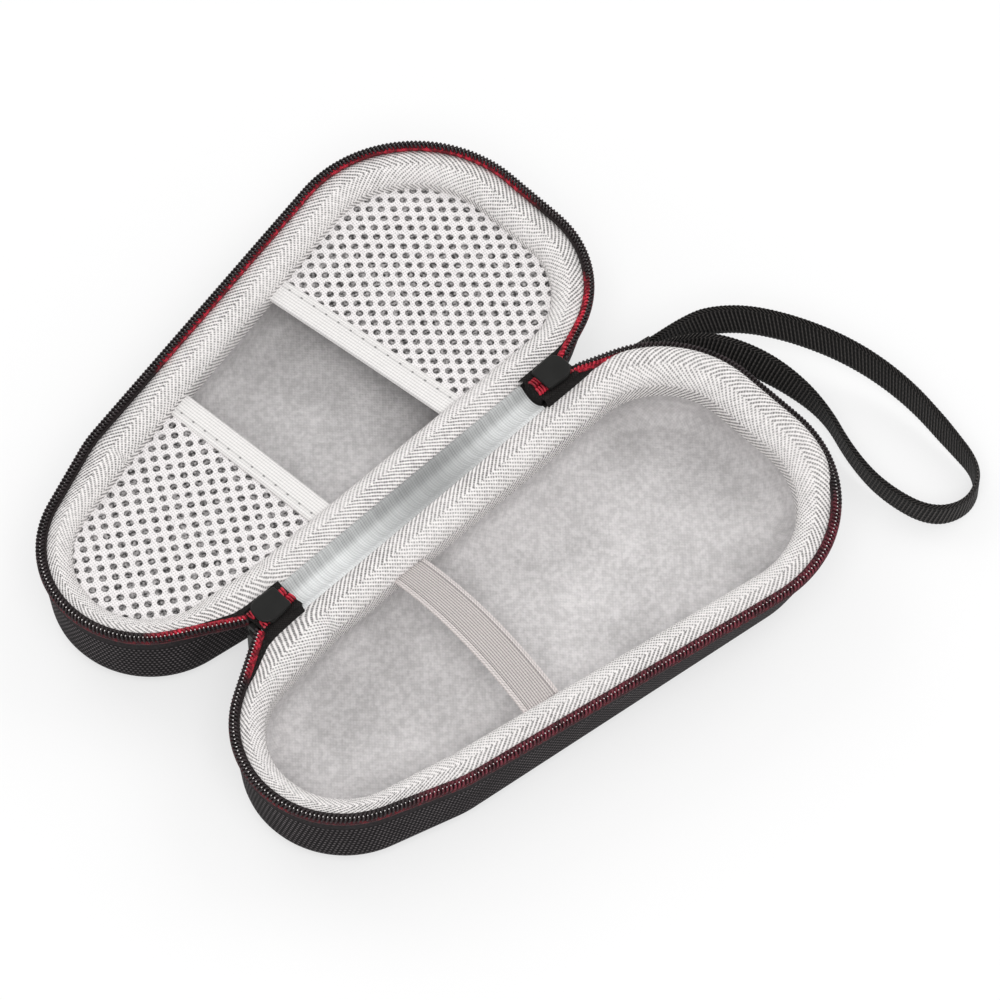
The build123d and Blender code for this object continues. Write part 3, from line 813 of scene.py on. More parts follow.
# --- operators ----------------------------------------------------------------------------
# The camera's turn, lift and roll in degrees, the point that it looks at, how far it stands
# back and its lens and sensor in millimetres; then each lamp's name, place, size and power.
CAMERA_ANGLES = (-44.42, 58.66, -0.07)
CAMERA_AIM = (0.02774, -0.00614, 0.0)
CAMERA_BACK = 1.502
CAMERA_LENS = (190.8, 36.0)
LAMPS = (
    ("key", (-0.5, -0.55, 1.25), 0.9, 10.0),
    ("fill", (0.95, -0.2, 0.85), 0.9, 3.6),
    ("rim", (0.1, 0.95, 0.75), 0.8, 3.0),
)


class CASE_OT_stage(bpy.types.Operator):
    """Camera, lamps, world and floor"""
    bl_idname = "case.stage"
    bl_label = "Stage"

    def execute(self, context):
        context.scene.view_settings.view_transform = "Standard"
        self.camera(context.scene)
        for row in LAMPS:
            self.lamp(context.scene, *row)
        self.world(context.scene)
        self.floor()
        return {"FINISHED"}

    def camera(self, scene):
        turn, lift, roll = (math.radians(angle) for angle in CAMERA_ANGLES)
        level = math.cos(lift)
        back = Vector((math.sin(turn) * level, -math.cos(turn) * level, math.sin(lift)))
        right = Vector((math.cos(turn), math.sin(turn), 0.0))
        up = back.cross(right)
        right, up = (
            right * math.cos(roll) + up * math.sin(roll),
            up * math.cos(roll) - right * math.sin(roll),
        )
        lens = bpy.data.cameras.new("camera")
        lens.lens, lens.sensor_width = CAMERA_LENS
        lens.sensor_fit = "HORIZONTAL"
        camera = bpy.data.objects.new("camera", lens)
        scene.collection.objects.link(camera)
        axes = Matrix((right, up, back)).transposed().to_4x4()
        camera.matrix_world = Matrix.Translation(Vector(CAMERA_AIM) + back * CAMERA_BACK) @ axes
        scene.camera = camera

    def lamp(self, scene, name, place, size, watts):
        data = bpy.data.lights.new(name, "AREA")
        data.size, data.energy = size, watts
        lamp = bpy.data.objects.new(name, data)
        lamp.location = place
        lamp.rotation_euler = Vector(place).to_track_quat("Z", "Y").to_euler()
        scene.collection.objects.link(lamp)

    def world(self, scene):
        """White where the camera sees it, straight or in a reflection, and dimmer as a light."""
        scene.world = scene.world or bpy.data.worlds.new("studio")
        scene.world.use_nodes = True
        nodes = Nodes(scene.world.node_tree)
        ground = nodes.tree.nodes["Background"]
        nodes.plug(ground.inputs["Color"], (1.0, 1.0, 1.0))
        nodes.plug(ground.inputs["Strength"], nodes.seen() * 0.45 + 0.55)

    def floor(self):
        fresh()
        bpy.ops.mesh.primitive_plane_add(size=8.0, location=(0, 0, -0.0002))
        floor = bpy.context.object
        floor.name = "floor"
        cloth = Cloth("white_floor")
        plain = cloth.shader.inputs
        cloth.plug(plain["Base Color"], (0.9, 0.9, 0.9))
        cloth.plug(plain["Roughness"], 0.9)
        glow = cloth.node("ShaderNodeEmission", {}, Color=(1.0, 1.0, 1.0), Strength=1.0)
        sources = (cloth.seen() * 0.62, cloth.shader.outputs[0], glow.outputs[0])
        mixed = cloth.node("ShaderNodeMixShader", {}, *sources)
        cloth.plug(cloth.output.inputs["Surface"], mixed.outputs[0])
        floor.data.materials.append(cloth.material)


def strap_line():
    """Points along the hand strap's smooth middle line."""
    curve = bpy.data.curves.new("strap_line", "CURVE")
    curve.dimensions = "3D"
    curve.resolution_u = 16
    spline = curve.splines.new("NURBS")
    spline.points.add(len(STRAP_ROUTE) - 1)
    for point, place in zip(spline.points, STRAP_ROUTE):
        point.co = (*place, 1.0)
    spline.order_u = 3
    spline.use_endpoint_u = True
    holder = bpy.data.objects.new("strap_line", curve)
    bpy.context.scene.collection.objects.link(holder)
    bpy.context.view_layer.update()
    mesh = bpy.data.meshes.new_from_object(holder)
    points = np.array([vertex.co for vertex in mesh.vertices])
    bpy.data.objects.remove(holder)
    bpy.data.meshes.remove(mesh)
    bpy.data.curves.remove(curve)
    return points


def slope(places, start, run):
    """0 before start, 1 from a run past it; a negative run falls instead."""
    return np.clip((places - start) / run, 0.0, 1.0)


def webbing_tube(name, points, sizes):
    """Webbing on its edge along points, leaning a little, its edges bumpy where its ribs end."""
    line = even_line(points, 0.0003)
    across = np.cross(directions(line), UP)
    across /= np.linalg.norm(across, axis=1)[:, None]
    half_w, half_t = sizes.webbing_width / 2, sizes.webbing_thickness / 2
    profile, spread = [], []
    for face_side in (1.0, -1.0):
        for share in np.linspace(-face_side, face_side, 9):
            thinner = 1 - 0.75 * max(0.0, abs(share) - 0.8) / 0.2
            profile.append((face_side * half_t * thinner, half_w * share))
            spread.append(half_w * (1 + share))
    profile.append(profile[0])
    spread.append(0.0)
    places = line_lengths(line)
    left = places[-1] - places
    bump = 1.0 + 0.022 * np.sin(places * TAU / sizes.webbing_pitch)
    going = slope(places, 0.0, 0.018) * slope(places, 0.128, -0.030)
    coming = slope(left, 0.0, 0.018) * slope(left, 0.064, -0.034)
    twist = np.maximum(going * 0.62, coming)
    most = math.radians(26.0) * (across @ np.array([0.7, 0.7, 0.0]))
    lean = most * twist * twist * (3.0 - 2.0 * twist)
    level, upright = np.cos(lean)[:, None], np.sin(lean)[:, None]
    rise = (across * upright + UP * level) * bump[:, None]
    face = across * level - UP * upright
    grid = np.stack([line + face * out + rise * up for out, up in profile], axis=1)
    return woven(name, grid, places, spread, wrap_across=True, caps=True), line


class CASE_OT_hand_strap(bpy.types.Operator):
    """Webbing loop of the hand strap and the folded webbing that holds it"""
    bl_idname = "case.hand_strap"
    bl_label = "Hand strap"

    def execute(self, context):
        sizes = context.scene.case_sizes
        piece, line = webbing_tube("hand_strap_webbing", strap_line(), sizes)
        smooth(piece, 60)
        settle(piece, "base", "webbing", "webbing_fabric", "hand_strap")
        path = [tuple(point) for point in line[::4]] + [tuple(line[-1])]
        self.anchor()
        return {"FINISHED"}

    def anchor(self):
        """Webbing wrapped round both ends of the strap, its root sewn to the shell."""
        heading, length_along, half_thick = math.radians(-14.0), 0.009, 0.0026
        ahead = np.array([math.cos(heading), math.sin(heading), 0.0])
        side = np.array([-ahead[1], ahead[0], 0.0])
        middle = np.array([0.0804, -0.00775, 0.0200])
        low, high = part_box("strap_anchor")
        outline = []
        for corner in range(25):
            turned = (math.cos(TAU * (corner % 24) / 24), math.sin(TAU * (corner % 24) / 24))
            x, z = (math.copysign(abs(part) ** (2 / 2.6), part) for part in turned)
            outline.append(side * x * half_thick + UP * z * (high.z - low.z) / 2)
        rows, along = [], []
        for share in np.linspace(0.0, 1.0, 13):
            at = middle + ahead * (share - 0.5) * length_along - side * 0.0012 * (1 - share)
            swell = np.array([1.0 - 0.25 * share, 1.0 - 0.25 * share, 1.0])
            rows.append([at + spot * swell for spot in outline])
            along.append(share * length_along)
        spread = np.linspace(0, 0.026, len(outline))
        piece = woven("strap_anchor_fold", rows, along, spread, wrap_across=True, caps=True)
        smooth(piece, 60)
        settle(piece, "base", "webbing", "webbing_fabric", "strap_anchor")


def level_ring(ring, z):
    """A ring of x and y at one height, or at one for each point."""
    return np.column_stack([ring, z + np.zeros(len(ring))])


def bowl_rows(top_inset, floor_z, corner, steps, lid):
    """Rings of a half's wall from its rim down to the edge of its floor."""
    rows = [(SHELL_TOP - (SHELL_TOP - floor_z - corner) * k / 6, 0.0) for k in range(7)]
    for k in range(1, steps + 1):
        angle = math.pi / 2 * k / steps
        rows.append((floor_z + corner * (1 - math.sin(angle)), corner * (1 - math.cos(angle))))
    rings = []
    for z, extra in rows:
        ring = rim_ring(top_inset + extra, (SHELL_TOP - z) / SHELL_TOP)
        rings.append(mirrored(level_ring(ring, z), lid) * MM)
    return rings


def closed_rings(rings):
    """Turns a list of rings into a grid [station][ring] that closes on itself."""
    grid = np.stack(rings, axis=1)
    return np.concatenate([grid, grid[:1]], axis=0)


def bowl(name, rings, measured):
    """A closed bowl through rings, its UV map's length taken along one of them."""
    grid = closed_rings(rings)
    along = line_lengths(closed_rings([measured])[:, 0])
    piece = woven(name, grid, along, line_lengths(grid[0]), wrap_along=True, caps=True)
    plane_uv(piece, corners=6)
    smooth(piece, 40)
    return piece


class CASE_OT_shells(bpy.types.Operator):
    """Twill-covered shells of both halves"""
    bl_idname = "case.shells"
    bl_label = "Shells"

    def execute(self, context):
        for half, lid in HALVES:
            inner = bowl_rows(top_inset=5.6, floor_z=4.4, corner=4.0, steps=5, lid=lid)
            outer = bowl_rows(top_inset=1.25, floor_z=0.0, corner=7.0, steps=8, lid=lid)
            lip = mirrored(level_ring(rim_ring(1.7), SHELL_TOP + 0.02), lid) * MM
            piece = bowl(f"{half}_shell_twill", inner[::-1] + [lip] + outer, outer[2])
            settle(piece, half, "twill", "shell_fabric", f"{half}_shell")
        return {"FINISHED"}


class CASE_OT_linings(bpy.types.Operator):
    """Light grey linings of both halves"""
    bl_idname = "case.linings"
    bl_label = "Linings"

    def execute(self, context):
        for half, lid in HALVES:
            outer = bowl_rows(top_inset=5.72, floor_z=4.45, corner=4.0, steps=5, lid=lid)
            inner = bowl_rows(top_inset=6.9, floor_z=5.6, corner=4.0, steps=7, lid=lid)
            piece = bowl(f"{half}_lining_cloth", outer[::-1] + inner, inner[3])
            settle(piece, half, "lining", "lining_fabric", f"{half}_lining")
        return {"FINISHED"}


def easing():
    """How far the binding's outer edge is drawn out to the zip beside the narrow slider."""
    edge = rim_ring(2.2)
    away = outward(edge)
    run = zip_line()[:40]
    reach = np.zeros(len(edge))
    for k, (x, y) in enumerate(edge):
        if x < -40.0 and y > -26.0:
            gap = np.hypot(*(run - edge[k]).T).min() - 1.9
            rise = (-5.2 - y) / max(0.25, away[k, 1])
            reach[k] = min(3.6, max(0.0, min(gap, rise)))
    reach = np.convolve(reach, (0.1, 0.2, 0.4, 0.2, 0.1), "same")
    return away * reach[:, None]


# Inset from the outline and height of the binding's folded tape, in millimetres.
BINDING_PROFILE = (
    (2.25, 26.05), (2.2, 26.7), (2.35, 27.15), (2.9, 27.5), (3.9, 27.78), (5.2, 27.92),
    (6.6, 27.9), (8.0, 27.7), (9.3, 27.35), (10.5, 26.75), (11.5, 25.85), (12.2, 24.6),
    (12.5, 23.0), (MOUTH_INSET, 21.4), (MOUTH_INSET, 20.1), (12.2, 20.0), (11.4, 20.15),
    (11.2, 22.5), (10.8, 24.6), (9.5, 25.8), (7.0, 26.05), (4.0, 26.05), (2.25, 26.05),
)


class CASE_OT_bindings(bpy.types.Operator):
    """Herringbone tapes bound over the rims"""
    bl_idname = "case.bindings"
    bl_label = "Rim bindings"

    def execute(self, context):
        eased, away = easing(), outward(rim_ring(2.2))
        repeat = context.scene.case_sizes.binding_pitch * 5 / 0.62
        across = line_lengths(np.array(BINDING_PROFILE) * MM)
        for half, lid in HALVES:
            rings = []
            for inset, z in BINDING_PROFILE:
                ring = rim_ring(inset, 0.0, MOUTH_RELIEF * min(1.0, max(0.0, (inset - 2.3) / 8.0)))
                swell = np.zeros(len(ring))
                if not lid and z >= 26.9 and inset <= 9.0:
                    swell = tucked(ring) * min(1.0, (9.0 - inset) / 4.6)
                ring += eased * min(1.0, max(0.0, (9.0 - inset) / 6.8))
                ring += away * 0.5 * swell[:, None]
                rings.append(level_ring(ring, z + 1.9 * swell))
            grid = closed_rings([mirrored(ring, lid) * MM for ring in rings])
            along = line_lengths(closed_rings([rings[6] * MM])[:, 0])
            along *= round(along[-1] / repeat) * repeat / along[-1]
            self.pucker(grid, along)
            piece = woven(
                f"{half}_binding_tape", grid, along, across, wrap_along=True, wrap_across=True
            )
            smooth(piece, 60)
            settle(piece, half, "herringbone", "binding_fabric", f"{half}_rim_binding")
        return {"FINISHED"}

    def pucker(self, grid, along):
        """Small ripples where the tape is eased round the corners."""
        for j in range(3, 13):
            for i in range(len(grid) - 1):
                corner = min(1.0, max(0.0, abs(grid[i, 0, 0]) / MM - 52.0) / 14.0)
                lift = math.sin(math.pi * (j - 3) / 9) * (0.00010 + 0.00012 * corner)
                wave = math.sin(along[i] * 950.0 + j * 0.5)
                grid[i, j, 2] += lift * (wave + 0.6 * math.sin(along[i] * 410.0 - j * 0.9))
        grid[-1] = grid[0]


# Inset and height of the zip's tape, and of the middle of its two rows of coil and its stitches.
TAPE_PROFILE = (
    (1.2, 26.02), (0.75, 26.5), (0.4, 27.2), (0.2, 28.0), (0.4, 28.75), (0.9, 29.0), (1.4, 28.8),
    (1.95, 29.0), (2.55, 29.0), (3.1, 28.95), (3.3, 28.5), (2.9, 27.8), (2.15, 26.9),
    (2.15, 26.02), (1.2, 26.02),
)
OUTER_ROW, INNER_ROW, STITCH_ROW = (0.85, 28.98), (2.02, 29.02), (1.44, 29.42)


def zip_grid(profile, lid):
    """A closed profile of inset and height, swept along the zip's line.

    Its foot is raised at both ends, so that the ring of the pull can swing out under it.
    """
    line = zip_line()
    side = outward(line)
    places = line_lengths(line)
    lift = 0.9 * slope(np.minimum(places, places[-1] - places), 3.0, -2.0)
    grid = np.zeros((len(line), len(profile), 3))
    for j, (inset, z) in enumerate(profile):
        dip = 0.0 if lid or inset < 1.9 or z < 27.0 else 1.2 * tucked(line)
        grid[:, j, :2] = line + side * (ZIP_INSET - inset)
        grid[:, j, 2] = z - dip + lift * max(0.0, (27.2 - z) / 1.18)
    return mirrored(grid, lid) * MM, places * MM


def coil_turns(name, line, side, pitch, half_side, half_up, wire, phase=0.0, steps=9, sides=5):
    """A flattened upright coil of wire along line, with side as its level axis, in metres."""
    places = line_lengths(line)
    turns = int((places[-1] - phase * pitch) / pitch)
    count = turns * steps
    wanted = np.linspace(0.0, turns * pitch, count + 1) + phase * pitch
    across = sampled(wanted, places, side)
    angle = np.linspace(0.0, TAU * turns, count + 1)
    level, upright = np.cos(angle)[:, None], np.sin(angle)[:, None]
    centre = sampled(wanted, places, line) + across * half_side * level + UP * half_up * upright
    ahead = directions(centre)
    spoke = across * level + UP * upright
    spoke -= ahead * np.sum(spoke * ahead, axis=1)[:, None]
    spoke /= np.linalg.norm(spoke, axis=1)[:, None]
    other = np.cross(ahead, spoke)
    around = np.linspace(0.0, TAU, sides + 1)
    rings = [centre + wire * (spoke * math.cos(a) + other * math.sin(a)) for a in around]
    grid = np.stack(rings, axis=1)
    piece = woven(name, grid, wanted, around * wire, wrap_across=True, caps=True)
    smooth(piece, 75)
    return piece


class CASE_OT_zips(bpy.types.Operator):
    """Zip tapes, coils and their stitching round both rims"""
    bl_idname = "case.zips"
    bl_label = "Zip round the rims"

    def execute(self, context):
        pitch = context.scene.case_sizes.tooth_pitch
        across = line_lengths(np.array(TAPE_PROFILE) * MM)
        coil = dict(pitch=pitch, half_side=0.00038, wire=0.00034)
        for half, lid in HALVES:
            grid, along = zip_grid(TAPE_PROFILE, lid)
            tape = woven(f"{half}_zip_band", grid, along, across, wrap_across=True, caps=True)
            smooth(tape, 60)
            settle(tape, half, f"{half}_zip_tape", "zip_tape_fabric", f"{half}_zip_tape")
            name = f"{half}_outer_coil"
            outer = coil_turns(name, *self.row(OUTER_ROW, lid), half_up=0.00052, **coil)
            settle(outer, half, name, "zip_coil_plastic", f"{half}_zip_coil")
            name, row = f"{half}_inner_coil", self.row(INNER_ROW, lid, dip=1.3)
            inner = coil_turns(name, *row, half_up=0.00050, phase=0.5, **coil)
            settle(inner, half, name, "zip_coil_plastic")
            self.stitches(half, *self.row(STITCH_ROW, lid, dip=0.5), pitch)
        return {"FINISHED"}

    def row(self, spot, lid, dip=0.0):
        """A line beside the zip's middle and its level axis; it dips under the tray's binding."""
        line = zip_line()
        side = outward(line)
        drop = 0.0 if lid else dip * tucked(line)
        places = level_ring(line + side * (ZIP_INSET - spot[0]), spot[1] - drop)
        return mirrored(places, lid) * MM, mirrored(level_ring(side, 0.0), lid)

    def stitches(self, half, middle, side, pitch):
        """White stitches between the rows of the coil, one to a turn."""
        fresh()
        bpy.ops.mesh.primitive_uv_sphere_add(segments=6, ring_count=4, radius=0.00023)
        seed = bpy.context.object
        base = np.array([vertex.co for vertex in seed.data.vertices])
        faces = [tuple(face.vertices) for face in seed.data.polygons]
        bpy.data.objects.remove(seed)
        places = line_lengths(middle)
        wanted = (np.arange(1, int(places[-1] / pitch) - 1) + 0.25) * pitch
        points = []
        for at, out in zip(sampled(wanted, places, middle), sampled(wanted, places, side)):
            axes = np.array([out * 1.3, np.cross(UP, out) * 0.8, UP * 0.9])
            points += list(at + base @ axes)
        piece = repeated(f"{half}_coil_stitches", points, len(base), faces)
        for face in piece.data.polygons:
            for loop in face.loop_indices:
                place = face.index // len(faces) * pitch
                piece.data.uv_layers[0].data[loop].uv = (place, 0.0)
        in_edit(piece, face_out)
        smooth(piece, 80)
        settle(piece, half, f"{half}_stitch", "zip_coil_plastic")


def cloth_strip(name, span, section, look, slot, node):
    """Cloth across the hinge with a section of (y, z) points, between two places in x."""
    start, end = (place * MM for place in span)
    count = max(2, int(round(abs(end - start) / 0.0015)))
    rows = [[(x, y, z) for y, z in section] for x in np.linspace(start, end, count + 1)]
    along = np.linspace(0.0, abs(end - start), count + 1)
    piece = woven(name, rows, along, line_lengths(np.array(section)))
    face_up(piece)
    thicken(piece, 0.0006)
    smooth(piece)
    settle(piece, None, look, slot, node)
    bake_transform(piece)


def sag_section(ledge, top):
    """The sag of cloth between the two rims, with a ledge sewn down on each."""
    half_span, sag, count = 4.2, 2.6, 14
    points = [(-half_span - ledge, top)] if ledge else []
    for k in range(count + 1):
        y = -half_span + 2 * half_span * k / count
        points.append((y, top - sag * (1 - (y / half_span) ** 2)))
    if ledge:
        points.append((half_span + ledge, top))
    return [(y * MM, z * MM) for y, z in points]


def tape_taper(x):
    """How much narrower the black tape beside the narrow slider gets towards the rim."""
    return 1.1 * min(1.0, max(0.0, (x - RIBBON_END) / (CHAIN_END - RIBBON_END)))


class CASE_OT_hinge(bpy.types.Operator):
    """Ribbon, outer panel and black patches over the fabric hinge"""
    bl_idname = "case.hinge"
    bl_label = "Fabric hinge"

    def execute(self, context):
        inner, outer = sag_section(1.0, 26.8), sag_section(0.0, 26.0)
        cloth_strip(
            "hinge_ribbon_cloth", (-RIBBON_END, RIBBON_END), inner,
            "ribbon", "ribbon_fabric", "hinge_ribbon",
        )
        cloth_strip(
            "hinge_outer_cloth", (-PATCH_END, PATCH_END), outer,
            "twill", "shell_fabric", "hinge_outer_panel",
        )
        for end, side in ENDS:
            cloth_strip(
                f"{end}_patch_cloth", (side * RIBBON_END, side * PATCH_END), inner,
                "black_cloth", "patch_fabric", f"{end}_hinge_patch",
            )
            for half, lid in HALVES:
                self.gusset(end, side, half, lid)
        return {"FINISHED"}

    def gusset(self, end, side, half, lid):
        """Black cloth that closes the gap from the parting zip to the rim, above and outside."""
        turn = np.array([side, 1.0])
        line = zip_line()[:: -side] * turn
        out = outward(line) * side
        upper = []
        for x in np.arange(RIBBON_END + 0.5, CHAIN_END + 0.5):
            taper = tape_taper(x) if side < 0 else 0.0
            upper.append((x, taper - 4.7, 29.75 - 1.2 * max(0.0, (x - 56.0) / 5.2)))
        upper += [(x, y, 28.4) for x, y in (line + out * 1.2)[:26]]
        ring = (rim_ring(3.2) + easing() * 0.85) * turn
        self.closing(f"{half}_{end}_gusset", upper, ring, 27.55, side, lid)
        lower = [(x, -SLIDER_ROOM, 26.1) for x in np.arange(RIBBON_END, CHAIN_END)]
        for x, y in (line - out * 0.1)[:34]:
            lower.append((x, y if x > COIL_END[0] + 0.8 else min(y, -SLIDER_ROOM), 26.1))
        self.closing(f"{half}_{end}_apron", lower, rim_ring(2.4) * turn, 26.1, side, lid)

    def closing(self, name, edge, ring, foot, side, lid):
        """Cloth from an edge to the nearest points of a ring, the ring's side at height foot."""
        hinge_side = ring[(ring[:, 1] > -25.0) & (ring[:, 0] > 0)]
        shares = np.linspace(0.0, 1.0, 5)[:, None]
        edge = np.array(edge)
        rows = []
        for x, y, z in edge:
            near = ring[np.argmin(np.hypot(ring[:, 0] - x, ring[:, 1] - (y - 1.0)))]
            if x < CHAIN_END:
                near = (x, hinge_side[np.argmin(np.abs(hinge_side[:, 0] - x)), 1])
            rows.append(np.array([x, y, z]) * (1 - shares) + np.array([*near, foot]) * shares)
        grid = np.array(rows) * MM * np.array([side, -1.0 if lid else 1.0, 1.0])
        piece = woven(name, grid, line_lengths(edge[:, :2]) * MM, np.linspace(0, 0.004, 5))
        face_up(piece)
        thicken(piece, 0.0003)
        smooth(piece, 60)
        settle(piece, "lid" if lid else "base", "black_cloth", "patch_fabric")


class CASE_OT_chains(bpy.types.Operator):
    """Joined zip chain, its tape and its folded tail behind each slider"""
    bl_idname = "case.chains"
    bl_label = "Joined chains"

    def execute(self, context):
        for end, side in ENDS:
            self.tape(end, side)
            self.tail(end, side)
            for row in (-1, 1):
                self.coil(end, side, row)
        return {"FINISHED"}

    def coil(self, end, side, row):
        """One row of coil, moving away from the other past the parting."""
        xs = np.linspace(RIBBON_END + 0.7, CHAIN_END, 60)
        parted = 0.7 * slope(xs, PARTING, CHAIN_END - PARTING)
        line = level_ring(np.column_stack([xs * side, row * (1.42 + parted)]), HINGE_Z) * MM
        across = np.tile(np.array([0.0, float(row), 0.0]), (len(xs), 1))
        piece = coil_turns(
            f"{end}_chain_coil_{'near' if row < 0 else 'far'}", line, across,
            pitch=bpy.context.scene.case_sizes.tooth_pitch * 0.78,
            half_side=0.00108, half_up=0.00060, wire=0.00038,
            phase=0.0 if row < 0 else 0.5, steps=14, sides=7,
        )
        settle(piece, "hinge_line", "red_coil", "zip_coil_plastic")

    def tape(self, end, side):
        """Tape under both coils, parting with them."""
        joined = np.linspace(RIBBON_END + 0.3, PARTING, 8)
        xs = np.concatenate([joined, np.linspace(PARTING + 0.5, CHAIN_END, 12)])
        half = (0.02, 0.9, 2.0, 3.2, 4.2, 5.05)
        rows = []
        for x in xs:
            parted = 0.7 * max(0.0, (x - PARTING) / (CHAIN_END - PARTING))
            edge = 5.08 - (tape_taper(x) if side < 0 else 0.0)
            row = []
            for y in [-place for place in half[::-1]] + list(half):
                place = y + math.copysign(parted, y) if abs(y) < 4.0 else y
                z = HINGE_Z - (0.55 if abs(y) < 3.5 else 0.0)
                row.append((x * side, max(-edge, min(edge, place)), z))
            rows.append(row)
        across = np.linspace(0.0, 0.0101, 2 * len(half))
        piece = woven(f"{end}_chain_tape", np.array(rows) * MM, (xs - xs[0]) * MM, across)
        face_up(piece)
        thicken(piece, 0.0005)
        smooth(piece)
        settle(piece, "hinge_line", "black_cloth", "patch_fabric", f"{end}_joined_chain")

    def tail(self, end, side):
        """The tape's folded end, standing across the chain behind it."""
        fresh()
        bpy.ops.mesh.primitive_cube_add(size=1.0, location=(0, 0, 0))
        tail = bpy.context.object
        tail.name = tail.data.name = f"{end}_chain_tail"
        low, high = 24.3 * MM, 29.5 * MM
        middle = Matrix.Translation((side * (RIBBON_END + 0.7) * MM, 0, (low + high) / 2))
        tail.data.transform(middle @ Matrix.Diagonal((0.0008, 0.0068, high - low, 1)))
        in_edit(tail, lambda: bpy.ops.mesh.subdivide(number_cuts=3))
        round_edges(tail, 0.0003, 3)
        smooth(tail)
        settle(tail, "hinge_line", "black_cloth", "patch_fabric")


class CASE_OT_sliders(bpy.types.Operator):
    """Enamel on the slider bodies, bails and tabs"""
    bl_idname = "case.sliders"
    bl_label = "Sliders and pulls"

    def execute(self, context):
        looks = (("slider_body", "enamel"), ("pull_bail", "enamel"), ("pull_tab", "tab_enamel"))
        for end, _ in ENDS:
            for part, look in looks:
                piece = frame["nodes"][f"{end}_{part}"]
                piece.data.materials.clear()
                piece.data.materials.append(finish(look))
        return {"FINISHED"}


def far_mouth(x):
    """Where the far side of the tray's mouth crosses a line square to the hinge."""
    arcs = arcs_at(MOUTH_INSET, 0.0, MOUTH_RELIEF)
    normal = shared_normal(arcs["shoulder"], arcs["wide_far"])
    touch = arc_point(arcs["shoulder"], normal)
    return touch[1] - (x - touch[0]) * math.cos(normal) / math.sin(normal)


class CASE_OT_elastic(bpy.types.Operator):
    """Elastic band over the tray"""
    bl_idname = "case.elastic"
    bl_label = "Elastic band"

    def execute(self, context):
        sizes = context.scene.case_sizes
        centre, count = -18.0, 44
        near, far = -15.0, far_mouth(centre) - 0.6
        middle, half = (near + far) / 2, sizes.band_width / MM / 2
        turn = math.radians(-3.5)
        rows = []
        for share in np.arange(count + 1) / count:
            y = near + (far - near) * share - middle
            rise = math.sin(math.pi * share) ** 0.85 if 0 < share < 1 else 0.0
            row = []
            for across in np.linspace(-half, half, 9):
                x = across * (1.0 - 0.06 * (1 - share))
                row.append((
                    centre + x * math.cos(turn) - y * math.sin(turn),
                    middle + x * math.sin(turn) + y * math.cos(turn),
                    24.6 + 0.94 * rise * sizes.band_rise / MM - 0.35 * (abs(across) / half) ** 3,
                ))
            rows.append(row)
        grid = np.array(rows) * MM
        along = line_lengths(grid[:, 4])
        piece = woven("elastic_band_cloth", grid, along, np.linspace(0, sizes.band_width, 9))
        face_up(piece)
        thicken(piece, 0.0009)
        round_edges(piece, 0.0003)
        smooth(piece)
        settle(piece, "base", "elastic", "elastic_fabric", "elastic_band")
        return {"FINISHED"}


def inside(points, outline):
    """Which of the points lie inside a closed outline."""
    found = np.zeros(len(points), bool)
    for a, b in zip(outline, np.roll(outline, -1, axis=0)):
        crosses = (a[1] > points[:, 1]) != (b[1] > points[:, 1])
        at = (b[0] - a[0]) * (points[:, 1] - a[1]) / (b[1] - a[1] + 1e-15) + a[0]
        found ^= crosses & (points[:, 0] < at)
    return found


def pull_inside(points, outline):
    """Brings points that lie outside a closed outline to the nearest place on it."""
    run = np.roll(outline, -1, axis=0) - outline
    span = (run ** 2).sum(1) + 1e-12
    moved = points.copy()
    for index in np.nonzero(~inside(points, outline))[0]:
        share = np.clip(((points[index] - outline) * run).sum(1) / span, 0, 1)
        near = outline + run * share[:, None]
        moved[index] = near[np.argmin(((near - points[index]) ** 2).sum(1))]
    return moved


def past_line(points, line):
    """How far points lie to the right of a line with a start and a direction."""
    (x0, y0), (dx, dy) = line
    return (points[..., 0] - x0) * dy - (points[..., 1] - y0) * dx


# How far the middle of the lid lies from the hinge.
LID_MIDDLE = 3.0 + 93.5 / 2
# Where each hem crosses the lid's middle, its lean in degrees, the side of it that the mesh is
# on, and how much the rows of holes rise.
POCKETS = (("wide", 25.5, 7.3, 1.0, 0.0), ("narrow", -23.0, 4.0, -1.0, 0.15))
# The tilt of those rows, the middle of one hole and the height of the mesh.
MESH_TILT = math.radians(-44.4)
MESH_START = np.array([0.0, 48.0])
MESH_Z = 22.75
# A hem's section: share of its half width, and height.
HEM_SECTION = (
    (-1.0, 22.5), (-0.96, 23.15), (-0.8, 23.35), (-0.45, 23.42), (0.0, 23.44), (0.45, 23.42),
    (0.8, 23.35), (0.96, 23.15), (1.0, 22.5), (0.9, 21.95), (0.0, 21.85), (-0.9, 21.95),
    (-1.0, 22.5),
)


